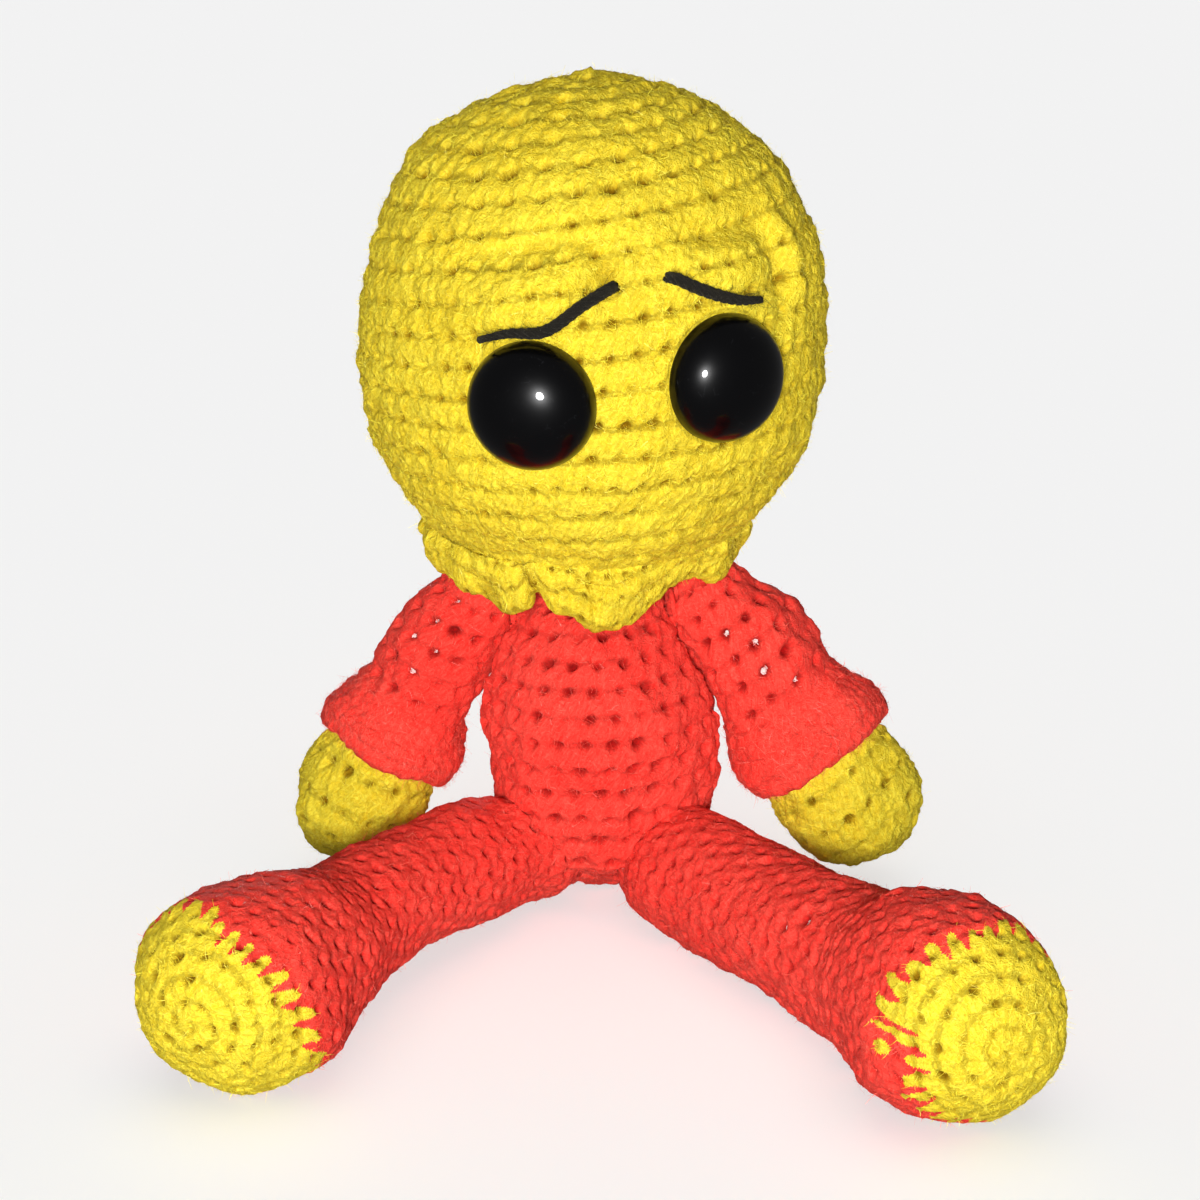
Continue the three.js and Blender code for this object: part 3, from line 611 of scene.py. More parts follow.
        # self.deep is painted shade: darker in the pits, on the low ground between strands, in the grooves between rows
        # and in pressed-in creases
        flat = -hgt * scale
        self.deep = np.clip(.92 * smooth(hole, .22, .9) * np.clip(pit_amount / max(pit, .1), .3, 1) * min(pit, 1) + .10 * smooth(flat, .6, 1.6) + crease_shade
                            + groove_shade * smooth(np.abs(2 * v - 1), .62, 1.0) * np.clip(.55 + .65 * lumps(base, 15.0, seed + 9), 0, 1), 0, 1)
        # tone: a random tone per stitch, plus a small painted highlight on the crown of each strand
        self.tone = np.clip(.5 + .5 * (tone_of[np.clip(np.floor(Ur).astype(int), 0, total - 1)] - .5) + .25 * (best + .5), 0, 1)
        self.fib = np.stack([fx - .42 * fa, (fa + .42 * fx) * .16 + fid * 3.7, fid * 11.3], -1)
        self.res, self.cloth = res, cloth
        self.column = lambda rr: U0[get(np.asarray(rr))] + q * m[get(np.asarray(rr))]
        self.tris = self.strips(len(S))

    def strips(self, NR):
        start = np.r_[0, np.cumsum(self.n)]
        out = []
        for r in range(NR - 1):
            na, nb = int(self.n[r]), int(self.n[r + 1])
            i, j = np.arange(na), np.arange(nb)
            jb = (-((-(i + 1) * nb) // na)) - 1
            ka = ((j + 1) * na) // nb
            A, B = start[r], start[r + 1]
            out.append(np.stack([A + i, A + (i + 1) % na, B + jb % nb], -1))
            out.append(np.stack([B + (j + 1) % nb, B + j, A + ka % na], -1))
        t = np.concatenate(out)
        c = self.co
        nn = np.cross(c[t[:, 1]] - c[t[:, 0]], c[t[:, 2]] - c[t[:, 0]])
        if (nn * self.nor[t[:, 0]]).sum() < 0:
            t = t[:, ::-1]
        return t

    def piece(self, name, material, body, faces=None, replace=(), cap=True, extra=None):
        t = self.tris if faces is None else self.tris[faces]
        used = np.unique(t)
        back = np.full(len(self.co), -1)
        back[used] = np.arange(len(used))
        bag = Bag()
        bag.put(self.co[used], [back[t]], self.fib[used], self.tone[used], self.deep[used])
        if cap and (faces is None or back[0] >= 0) and self.n[0] <= 16:
            ring = back[np.arange(self.n[0])]
            c = self.co[:self.n[0]]
            nn = np.cross(c[1] - c[0], c[2] - c[0]) @ self.nor[0]
            bag.loops.append(ring if nn > 0 else ring[::-1])
            bag.sizes.append(np.array([self.n[0]]))
            bag.mat.append(np.array([0]))
        if extra is not None:
            extra(bag)
        ob = bag.make(name, [material])
        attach(ob, body)
        for n in replace:
            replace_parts(ob, n)
        return ob

    def peek(self, name, body, spots, node_size=1.0):
        """Tufts of the fibre fill that show through the widest gaps, near the given places in the photograph's frame."""
        seen = on_photo(self.co)
        facing = ((V(*CAM_AT) - self.co) * self.nor).sum(1) > 0
        bag = Bag()
        for j, (x, y, size) in enumerate(spots):
            g = np.random.default_rng(500 + j)
            away = np.linalg.norm(seen - V(x, y), axis=1) + np.where(facing, 0, 999)
            start = self.co[np.argmin(away)]
            near = np.linalg.norm(self.co - start, axis=1)
            hit = int(np.argmax(np.where((near < 4.2) & facing, self.hole - .06 * near, -9)))
            o, n, t, b = self.co[hit], self.nor[hit], self.run[hit], self.side[hit]
            M, K = int(26 * size), 7
            c = o + n * .35 + (g.normal(0, .42, (M, 1)) * t + g.normal(0, .42, (M, 1)) * b) * size + n * g.uniform(-.1, .35, (M, 1))
            a = g.uniform(0, TAU, (M, 1))
            way = np.cos(a) * t + np.sin(a) * b + n * g.normal(0, .3, (M, 1))
            across = np.cross(way, n)
            q = np.linspace(-1, 1, K)[None, :, None]
            L = (.75 * size * g.uniform(.6, 1.2, M))[:, None, None]
            C = c[:, None] + way[:, None] * q * L + across[:, None] * (q ** 2 - .4) * L * g.normal(0, .6, (M, 1, 1)) - n * (q ** 2) * L * .35
            bag.tubes(C, np.full((M, K), .085), np.broadcast_to(n, C.shape), sides=5, seed=j)
        ob = bag.make(name, [TUFT_IN_PAINTED_SHADE])
        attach(ob, body)
        return ob

    def fur(self, name, material, body, density, length, seed, pick=None, width=.078, lift=1.0, post=None, along=.55):
        """Loose fibre ends standing on the yarn."""
        g = np.random.default_rng(seed)
        ok = np.ones(len(self.co), bool) if pick is None else pick.copy()
        ok &= self.deep < .45
        pool = np.flatnonzero(ok)
        count = int(len(pool) * self.res ** 2 * density)
        if count < 4:
            return None
        v = g.choice(pool, count)
        p = self.co[v] - self.nor[v] * .08 + g.normal(0, .12, (count, 3))
        n, t, b = self.nor[v], self.run[v], self.side[v]
        L = (length * np.clip(g.gamma(3.2, 1 / 3.2, count), .3, 1.3))[:, None]
        sgn = np.where(g.uniform(size=count) < .5, -1.0, 1.0)[:, None]
        way = np.where(g.uniform(size=(count, 1)) < along, t + .35 * b, b + .25 * t)
        go = unit(way * sgn * g.uniform(.5, 1.4, (count, 1)) + n * g.uniform(-.08, .30, (count, 1)) * lift + g.normal(0, .26, (count, 3)))
        bend = g.normal(0, .9, (count, 3)) - n * g.uniform(.2, 1.2, (count, 1))
        K = 4
        P = np.stack([p + go * L * (i / (K - 1)) + bend * L * (i / (K - 1)) ** 2 * .5 for i in range(K)], 1)
        if post is not None:
            P = post(P.reshape(-1, 3)).reshape(P.shape)
        T = unit(np.gradient(P, axis=1))
        Wd = unit(np.cross(T, n[:, None] + g.normal(0, .45, (count, 1, 3))))
        bag = Bag()
        bag.hairs(P, Wd, width * g.uniform(.6, 1.3, (count, 1, 1)), tone=g.uniform(.15, 1, count), seed=seed + 1)
        ob = bag.make(name, [material])
        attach(ob, body)
        return ob


def grow_hair(fuzz, C, N, R, tone, count, length, seed, post=None, out=1.0, mat=0, width=0.085):
    g = np.random.default_rng(seed)
    M, K = C.shape[:2]
    m = g.integers(0, M, count)
    k = g.uniform(0.08 * (K - 1), 0.92 * (K - 1), count)
    k0 = np.floor(k).astype(int)
    f = (k - k0)[:, None]
    c = C[m, k0] * (1 - f) + C[m, k0 + 1] * f
    n = unit(N[m, k0])
    t = unit(C[m, k0 + 1] - C[m, k0])
    b = np.cross(t, n)
    a = g.normal(0, .75, count)[:, None]
    d = unit(n * np.cos(a) + b * np.sin(a))
    r = R[m, k0][:, None]
    sgn = np.where(g.uniform(size=count) < .5, -1.0, 1.0)[:, None]
    p = c + d * r * 0.93
    L = (length * g.gamma(3.0, 1 / 3.0, count))[:, None]
    go = unit(t * sgn * g.uniform(.4, 1.3, (count, 1)) + d * g.uniform(.05, .75, (count, 1)) * out + g.normal(0, .45, (count, 3)))
    bend = g.normal(0, .55, (count, 3)) - n * g.uniform(.0, .9, (count, 1))
    K2 = 4
    P = np.stack([p + go * L * (i / (K2 - 1)) + bend * L * (i / (K2 - 1)) ** 2 * 0.5 for i in range(K2)], 1)
    T = unit(np.gradient(P, axis=1))
    W = unit(np.cross(T, n[:, None] + g.normal(0, .35, (count, 1, 3))))
    fuzz.hairs(P, W, width * g.uniform(.6, 1.25, (count, 1, 1)), tone=np.clip(tone[m] * 0.5 + g.uniform(.1, .75, count), 0, 1), seed=seed + 1, mat=mat, post=post)


def push_out(v, a, b, r):
    """Moves points out of a capsule from a to b."""
    d = b - a
    t = np.clip(((v - a) @ d) / max(d @ d, 1e-9), 0, 1)[..., None]
    c = a + t * d
    q = v - c
    dist = np.linalg.norm(q, axis=-1, keepdims=True)
    return np.where(dist < r, c + q / np.maximum(dist, 1e-6) * r, v)


def inside(v, a, b):
    d = b - a
    t = np.clip(((v - a) @ d) / max(d @ d, 1e-9), 0, 1)[..., None]
    return np.linalg.norm(v - (a + t * d), axis=-1)


# ------------------------------------------------------------------ head
def head_radius(h):
    h = np.asarray(h, float)
    up = h > 0
    n = np.where(up, POW_UP, POW_DOWN)
    c = np.where(up, HEAD_UP, HEAD_DOWN)
    t = np.minimum(np.abs(h) / c, 1)
    return HEAD_R * np.maximum(1 - t**n, 0) ** (1 / n)


def head_point(az, h, out=0.0):
    a = np.radians(az)
    e = 0.05
    dr = (head_radius(h + e) - head_radius(h - e)) / (2 * e)
    n = unit(np.stack([np.sin(a), -np.cos(a), -dr], -1))
    r = head_radius(h)
    p = np.stack([NECK_X + r * np.sin(a), -r * np.cos(a), HEAD_Z + h], -1)
    return p + n * np.asarray(out)[..., None], n


def head_under(r, inset=0.0):
    q = np.clip(np.asarray(r, float) / (HEAD_R - inset), 0, 1)
    return HEAD_Z - (HEAD_DOWN - inset) * np.maximum(1 - q**POW_DOWN, 0) ** (1 / POW_DOWN)


def head_cloth():
    a = np.linspace(0, math.pi, 1600)          # crown to neck
    up = a < math.pi / 2
    n = np.where(up, POW_UP, POW_DOWN)
    c = np.where(up, HEAD_UP, HEAD_DOWN)
    r = HEAD_R * np.sin(a) ** (2 / n)
    z = np.sign(np.cos(a)) * c * np.abs(np.cos(a)) ** (2 / n)
    keep = (r > 8.6) | up
    prof, length = along_profile(np.stack([r, z], -1)[keep], 260, False)
    A = 360
    turn = np.arange(A) / A
    az = -TAU * turn
    R, Z = prof[:, 0][None], prof[:, 1][None]
    pos = np.stack([NECK_X + R * np.sin(az)[:, None], -R * np.cos(az)[:, None], HEAD_Z + Z + 0 * az[:, None]], -1)
    cl = Cloth(pos, length)
    # swellings and creases of the stuffed head
    d = wrap(np.degrees(az))[:, None] + 0 * Z
    hz = Z + 0 * d
    s = np.linspace(0, length, prof.shape[0])[None] + 0 * d

    def bump(a0, h0, sa, sh, amp, tilt=0.0):
        da = wrap(d - a0)
        dh = hz - h0 - tilt * da
        return amp * np.exp(-0.5 * ((da / sa) ** 2 + (dh / sh) ** 2))

    e = 1.0 * np.exp(-(s / 3.4) ** 2)                                  # knob of the first ring
    e += bump(-14, 14.2, 9.5, 4.0, 3.5) + bump(-25, 9.5, 6, 3.4, 1.3)  # above the doll's right eye
    e += bump(-14, 22.4, 12.0, 1.7, -2.2, .12) + bump(4.0, 18.0, 2.6, 4.0, -1.9)
    e += bump(36, 17.3, 9.0, 3.8, 3.1) + bump(36, 24.6, 10, 1.7, -1.6)   # above the left eye
    e += bump(57.0, 17.5, 3.0, 6.0, 2.4, -0.55) + bump(50.8, 16.0, 2.4, 5.0, -1.4, -0.55) + bump(64, 14, 3, 6, -1.0)
    e += bump(10, 0, 7, 12, .5)
    e += bump(-75, 12, 38, 13, -1.1) + bump(75, 20, 38, 20, .9)
    sides = np.sin(np.radians(d)) ** 2
    e -= (1.1 + .4 * (d > 0)) * smooth(-hz, 12, 33) * (.25 + .75 * sides)
    lower = smooth(-hz, -4, 30)
    e += 0.35 * lumps(pos, 34.0, 11) * (1 - 0.4 * lower)
    e += trim(pos, (370, 235, 34, -.6), (425, 138, 30, .9), (505, 88, 26, -.9), (770, 155, 34, .8), (798, 455, 26, .7), (455, 105, 20, -.3))
    pos2 = pos + cl.nor * e[..., None]
    return Cloth(pos2, length)


HEAD = head_cloth()
eye_frames = {}
for side, (az, h) in EYES.items():
    at, n = head_point(np.float64(az), np.float64(h), np.float64(-EYE_SINK))
    eye_frames[side] = (at, n)


def press_eyes(v):
    v = v.copy()
    for at, n in eye_frames.values():
        q = v - at
        up = q @ n
        rho = np.linalg.norm(q - up[:, None] * n, axis=1)
        limit = np.where(rho < EYE_R + 0.15, -0.25, -0.25 + (rho - EYE_R - 0.15) * 1.6)
        near = (rho < EYE_R + 3.0) & (up > limit) & (up > -8)
        v[near] -= (up[near] - limit[near])[:, None] * n
    return v


def head_warp(tt, ss):
    """The rounds run uphill towards the doll's left on the upper head."""
    az = -TAU * tt
    g = smooth(ss, 6, 34) * (1 - 0.75 * smooth(ss, 66, 96)) * (1 - smooth(ss, 112, 135))
    return -5.6 * np.sin(az) * g


head_counts = [6, 12, 18, 24, 30, 36, 42, 48] + [54] * 9 + [48, 42, 36, 30, 24, 18]
def brow_folds(base, turn, ss):
    """Creases beside and above the swellings over the eyes; the Weave also darkens them with painted shade."""
    d = wrap(np.degrees(np.arctan2(base[:, 0] - NECK_X, -base[:, 1])))
    h = base[:, 2] - HEAD_Z
    g = lambda a0, h0, sa, sh, tilt=0.0: np.exp(-.5 * (((d - a0) / sa) ** 2 + ((h - h0 - tilt * (d - a0)) / sh) ** 2))
    return -1.25 * g(4.6, 17.4, 1.9, 4.2, 0) - .95 * g(-13, 22.8, 12, 1.0, .12) - 1.0 * g(50.8, 16.5, 2.0, 5.5) - .7 * g(37, 24.4, 9, .9) - .55 * g(-28, 5.5, 5, 1.2, .3)


HW = Weave(HEAD, head_counts, uneven=brow_folds, lean=.2, seam=.5, warp=head_warp, seed=10, ridge=.80, pit=2.4,
           slant=.24, lump=.30, post=press_eyes, bar=.58, rho=3.0, k=.34, leg=(.18, .26), proud=.05, grain=.15, groove_shade=.36)
tri_row = HW.vt[HW.tris].mean(1)
is_up = tri_row < 10.5
HW.piece("head_crochet_upper", YELLOW, "head", faces=is_up, replace=("head_cover",))
HW.piece("head_crochet_lower", YELLOW, "head", faces=~is_up, cap=False)
HW.fur("head_fuzz_a", YELLOW_ENDS, "head", 1.9, 1.25, 12, post=press_eyes)
HW.fur("head_fuzz_b", YELLOW_ENDS, "head", 1.9, 1.25, 14, post=press_eyes)

# ------------------------------------------------------------------ eyes: turned gloss domes with a rim
for side in ("left", "right"):
    at, n = eye_frames[side]
    u, v_, w = basis(n)
    p = EYE_POST_R
    prof = [(0, -EYE_POST), (p - .5, -EYE_POST), (p, -EYE_POST + .8), (p - .25, -9), (p, -8.4), (p - .25, -7.8), (p, -7.2),
            (p - .25, -6.6), (p, -6), (p, -.3), (p + .3, 0), (EYE_R - .5, 0), (EYE_R - .15, .1), (EYE_R, .4), (EYE_R + .02, .7)]
    for i in range(1, 41):
        a = i / 40 * math.pi / 2
        prof.append((max(EYE_R * math.cos(a) ** 0.96, 0), .7 + (EYE_DOME - .7) * math.sin(a)))
    prof = np.array(prof)
    A = 96
    th = np.arange(A) / A * TAU
    pos = (at + prof[None, :, :1] * (np.cos(th)[:, None, None] * u + np.sin(th)[:, None, None] * v_) + prof[None, :, 1:] * w)
    bag = Bag()
    bag.sheet(pos, tone=.5, deep=0)
    ob = bag.make(f"eye_dome_{side}", [GLOSS])
    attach(ob, "head")
    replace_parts(ob, f"eye_{side}")
    # lens of the rim: a thin olive line where yarn presses on the dome is left to the fuzz around it
    node = nodes[f"eye_washer_{side}"]
    node.data.materials.clear()
    node.data.materials.append(WASHER)

# ------------------------------------------------------------------ eyebrows: black yarn laid as one bent stitch
for side in ("left", "right"):
    ctrl = np.array(BROWS[side], float)
    d = np.arange(len(ctrl))
    q = np.linspace(0, len(ctrl) - 1, 60)
    m = np.gradient(ctrl, axis=0)
    i = np.clip(np.floor(q).astype(int), 0, len(ctrl) - 2)
    t = (q - i)[:, None]
    path = ((2 * t**3 - 3 * t**2 + 1) * ctrl[i] + (t**3 - 2 * t**2 + t) * m[i] + (-2 * t**3 + 3 * t**2) * ctrl[i + 1] + (t**3 - t**2) * m[i + 1])
    end = np.minimum(np.arange(60), 59 - np.arange(60)) / 6.0
    thin = 1 - .42 * smooth(np.arange(60), 26, 59)
    out = BROW_R * 0.9 + 0.85 - 3.0 * np.clip(1 - end, 0, 1) ** 1.6
    s_of = lambda h: None
    P, N = head_point(path[:, 0], path[:, 1], out)
    # follow the swellings under it
    P = P + N * (1.3 * np.exp(-((path[:, 0] - (-14 if side == "right" else 35)) / 14) ** 2))[:, None]
    T = unit(np.gradient(P, axis=0))
    B = unit(np.cross(T, N))
    run = np.r_[0, np.cumsum(np.linalg.norm(np.diff(P, axis=0), axis=1))]
    C, Nn = [], []
    for ply in range(4):
        ph = ply / 4 * TAU + run * 0.95
        C.append(P + 0.55 * thin[:, None] * (np.cos(ph)[:, None] * N + np.sin(ph)[:, None] * B))
        Nn.append(unit(np.cos(ph)[:, None] * N + np.sin(ph)[:, None] * B))
    bag, fz = Bag(), Bag()
    C, Nn = np.stack(C), np.stack(Nn)
    R = np.broadcast_to(.66 * thin, C.shape[:2])
    bag.tubes(C, R, Nn, sides=9, twist=1.4, seed=5, deep=0.1)
    grow_hair(fz, np.stack([P] * 2), np.stack([N] * 2), np.full((2, 60), 1.0), np.array([.5, .5]), 420, 1.3, 31, None, 1.0, width=.07)
    fz.v and bag.put(np.concatenate(fz.v), [np.concatenate([l.reshape(-1, 4) for l in fz.loops])], np.concatenate(fz.fib), np.concatenate(fz.tone), 0.0)
    ob = bag.make(f"eyebrow_yarn_{side}", [BLACK])
    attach(ob, "head")
    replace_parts(ob, f"eyebrow_{side}")


# ------------------------------------------------------------------ limb lines
def arm_frame(side):
    x, y, z = ARM_DIR[side]
    a = rad(ARM_LEAN[side]) * (1 if side == "left" else -1)
    return V(*SHOULDER[side]), basis((x * math.cos(a) - z * math.sin(a), y, x * math.sin(a) + z * math.cos(a)))


def leg_line(side):
    s = SIDE[side]
    d1, d2, d3 = (V(*d) for d in LEG_EASE[side][:3])
    H, Bc = V(*HIP[side]), V(*FOOT[side]) + d3
    az = rad(TOE_AZ[side])
    f = V(s * math.sin(az) * math.cos(rad(TOE_UP)), -math.cos(az) * math.cos(rad(TOE_UP)), math.sin(rad(TOE_UP)))
    A = Bc - 14 * f
    a0 = rad(LEG_START[side])
    P1 = H + 28 * V(s * math.sin(a0), -math.cos(a0), 0) + d1
    P2 = A - (10 if side == "left" else 16) * f
    P2[2] = 15.4
    P2 = P2 + d2
    t = np.linspace(0, 1, 3000)[:, None]
    pts = (1 - t) ** 3 * H + 3 * (1 - t) ** 2 * t * P1 + 3 * (1 - t) * t**2 * P2 + t**3 * A
    d = np.r_[0, np.cumsum(np.linalg.norm(np.diff(pts, axis=0), axis=1))]
    tan = unit(np.gradient(pts, axis=0))
    arc = d[-1]

    def line(q):
        q = np.asarray(q, float)
        qc = np.clip(q, 0, arc)
        at = np.stack([np.interp(qc, d, pts[:, k]) for k in range(3)], -1)
        tt = unit(np.stack([np.interp(qc, d, tan[:, k]) for k in range(3)], -1))
        at = at + np.where((q >= arc)[..., None], f, tt) * (q - qc)[..., None]
        bend = smooth(q, arc - 17, arc + 3)[..., None]
        tt = unit(tt * (1 - bend) + f * bend)
        u = unit(np.cross(V(0, 0, 1), tt))
        v = unit(np.cross(tt, u))
        return at, tt, u, v * (1 + (FOOT_TALL - 1) * smooth(q, arc - 12, arc + 8))[..., None]

    return line, arc + 14, f


def revolve(place, prof, A, reverse):
    """place(q) -> centre, u, v for heights q; prof (S, 2) of radius, height."""
    th = np.arange(A) / A * TAU
    at, u, v = place(prof[:, 1])
    pos = at[None] + prof[None, :, :1] * (np.cos(th)[:, None, None] * u[None] + np.sin(th)[:, None, None] * v[None])
    if reverse:
        pos = pos[::-1]
    return pos


# ------------------------------------------------------------------ arms, cuffs and hands
def arc_pts(r, a0, a1, n, centre=0.0):
    a = np.radians(np.linspace(a0, a1, n))
    return [(max(r * math.sin(x), 0.0), centre - r * math.cos(x)) for x in a]


def filling(name, pos, length, body, node, low):
    """Packed fibre fill: a lumpy core in the shape of the piece that holds it."""
    cl = Cloth(pos, length)
    e = .55 * lumps(pos, 9.0, 120) + .28 * lumps(pos, 4.0, 121) + .12 * lumps(pos, 1.8, 122)
    pos = pos + cl.nor * e[..., None]
    pos[..., 2] = np.maximum(pos[..., 2], low)
    pos[:, 0] = pos[:, 0].mean(0)
    pos[:, -1] = pos[:, -1].mean(0)
    bag = Bag()
    bag.sheet(pos, tone=.5, deep=0)
    ob = bag.make(name, [FILL])
    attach(ob, body), ob, ob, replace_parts(ob, node)


for side in ("left", "right"):
    S, (u, v_, w) = arm_frame(side)
    body = f"arm_{side}"
    place = lambda q, S=S, u=u, v_=v_, w=w: (S + np.asarray(q)[:, None] * w, np.broadcast_to(u, (len(q), 3)), np.broadcast_to(v_, (len(q), 3)))
    # sleeve, worked from the wrist up to the round top
    sl = [(WRIST_R, 38.0), (WRIST_R, 32), (WRIST_R + .35, 29.5), (ELBOW_R, 25), (ELBOW_R, 15), (ELBOW_R - .6, 8)] + arc_pts(ARM_R, 88, 0, 12)
    prof, length = along_profile(sl, 150)
    pos = revolve(place, prof, 180, True)
    cl = Cloth(pos, length)
    e = 0.40 * lumps(pos, 18.0, 21 if side == "left" else 22) + trim(pos, (826, 644, 16, 1.5), (442, 573, 24, -1.3), (744, 566, 22, -1.2), (790, 606, 16, .8), (475, 700, 28, -.9), (372, 650, 14, .8), (395, 615, 16, -.5))
    if side == "left":                                            # fuller over the shoulder and under the elbow
        q_ = (pos - S) @ w
        top = cl.nor @ unit(V(.82, 0, .57))
        e = e + 2.0 * smooth(top, .1, .95) * smooth(q_, -1, 8) * (1 - smooth(q_, 14, 30))
        e = e + 1.5 * smooth(-top, .2, .95) * smooth(q_, 17, 27) + 1.3 * smooth(top, .2, .95) * smooth(q_, 22, 29)
    cl = Cloth(pos + cl.nor * e[..., None], length)
    W_ = Weave(cl, [12] * 7 + [9, 5], lean=.30, seam=.75 if side == "left" else .25, seed=30 if side == "left" else 33, ridge=.55, pit=2.6,
               pit_size=1.15, jitter=1.3, lump=.35, rho=3.0, k=.34, bar=.40, groove_shade=.12)
    W_.piece(f"sleeve_crochet_{side}", RED, body, replace=(f"sleeve_{side}",))
    W_.fur(f"sleeve_fuzz_{side}", RED_ENDS, body, 1.6, 1.2, 31)
    W_.peek(f"arm_fill_peek_{side}", body, [(758, 630, .7), (728, 648, .5), (763, 660, .9), (793, 674, 1.1), (762, 689, .7), (799, 704, .55)]
            if side == "left" else [(458, 608, .5), (436, 625, .6), (413, 638, .6), (441, 658, .5), (416, 674, .75)])
    soft = [(0, HAND_END - 3.6), (6, HAND_END - 5.2), (9.6, HAND_END - 8.2), (HAND_R - 3.4, SLEEVE_END + 12), (9.2, SLEEVE_END + 4), (7.6, SLEEVE_END - 4),
            (7.6, 28), (7.7, 16), (6.8, 6), (5.6, -1), (3, -4.6), (0, -5.6)]
    prof, length = along_profile(soft, 120)
    filling(f"arm_fill_{side}", revolve(place, prof, 110, True), length, body, f"arm_stuffing_{side}", 0.5)
    # cuff: a plump rolled band
    c0, c1, cr = CUFF_FROM - .6, CUFF_TO - 4.3, CUFF_R - (.5 if side == "left" else .9)
    cm = (c0 + c1) / 2
    cf = [(12.4, c1 - 2.4), (13.2, c1 - .2), (14.6, c1), (cr - .35, cm + 2.6), (cr, cm), (cr - .35, cm - 2.8),
          (cr - 1.5, c0 + .6), (13.3, c0 - 1.8), (12.2, c0 - 4.4), (10.6, c0 - 6.4)]
    prof, length = along_profile(cf, 110)
    pos = revolve(place, prof, 160, True)
    to_cam = V(*CAM_AT) - (S + 40 * w)
    to_cam = unit(to_cam - (to_cam @ w) * w)
    rim = 2.0 if side == "left" else 4.4

    def raised(pos, q0, q1):
        facing = unit(pos - S - ((pos - S) @ w)[..., None] * w) @ to_cam
        return pos - (rim * smooth(facing, -.3, 1.0) * smooth((pos - S) @ w, q0, q1))[..., None] * w

    pos = raised(pos, cm - 5, c1 - 1)
    cl = Cloth(pos, length)
    e = 0.55 * lumps(pos, 22.0, 41 if side == "left" else 42) + .15 * lumps(pos, 9.0, 43)
    e = e + trim(pos, (886, 705, 20, 1.1), (848, 664, 16, -.9), (728, 766, 20, .3), (468, 722, 30, -1.3), (450, 788, 22, -1.0), (325, 715, 18, .6), (340, 680, 14, -.6))
    if side == "left":
        e = e + 2.0 * smooth(-(cl.nor @ unit(V(.82, 0, .57))), .1, .95) + .7 * smooth(cl.nor @ unit(V(.82, 0, .57)), .2, .95)
    cl = Cloth(pos + cl.nor * e[..., None], length)
    W_ = Weave(cl, [15, 16, 16, 15], lean=.3, seam=.75 if side == "left" else .25, seed=36 if side == "left" else 39, ridge=.12, pit=.0, rho=4.5,
               jitter=.8, lump=.35, bar=.08, k=.4, grain=.2, groove_shade=0)
    W_.piece(f"cuff_crochet_{side}", RED, body, replace=(f"cuff_{side}",))
    W_.fur(f"cuff_fuzz_{side}", RED_ENDS, body, 4.6, 1.5, 37, along=.85)
    # hand
    hd = [(0, HAND_END), (3.4, HAND_END - .45), (6.8, HAND_END - 1.9), (10.6, HAND_END - 4.8), (13.1, HAND_END - 9.4), (HAND_R, SLEEVE_END + 11.9),
          (13.5, SLEEVE_END + 7.0), (13.0, SLEEVE_END + 3.0), (12.2, SLEEVE_END + 1.2), (10.4, SLEEVE_END - .6)]
    prof, length = along_profile(hd, 130)
    pos = revolve(place, prof, 160, True)
    facing = unit(pos - S - ((pos - S) @ w)[..., None] * w) @ to_cam
    pos = pos - (rim * smooth(facing, -.3, 1.0) * (1 - smooth((pos - S) @ w, SLEEVE_END + 2, SLEEVE_END + 14)))[..., None] * w
    cl = Cloth(pos, length)
    e = 0.55 * lumps(pos, 18.0, 51 if side == "left" else 52) + .2 * lumps(pos, 8.0, 53)
    e = e + trim(pos, (903, 748, 20, 1.4), (914, 845, 24, 1.3), (924, 785, 14, -.9), (846, 866, 26, -1.3), (298, 790, 22, -.9))
    if side == "left":
        e = e + 1.5 * smooth(-(cl.nor @ unit(V(.82, 0, .57))), 0, .9) + .9 * smooth(cl.nor @ w, .2, 1)
    cl = Cloth(pos + cl.nor * e[..., None], length)
    W_ = Weave(cl, [6, 12, 15, 15, 14, 12], lean=.25, seam=.75 if side == "left" else .25, seed=43 if side == "left" else 46, groove_shade=.12, ridge=.32, pit=1.3,
               jitter=1.2, lump=.45, rho=2.8, k=.38, bar=.28, grain=.2)
    W_.piece(f"hand_crochet_{side}", YELLOW, body, replace=(f"hand_{side}",))
    W_.fur(f"hand_fuzz_{side}", YELLOW_ENDS, body, 3.6, 1.3, 44)

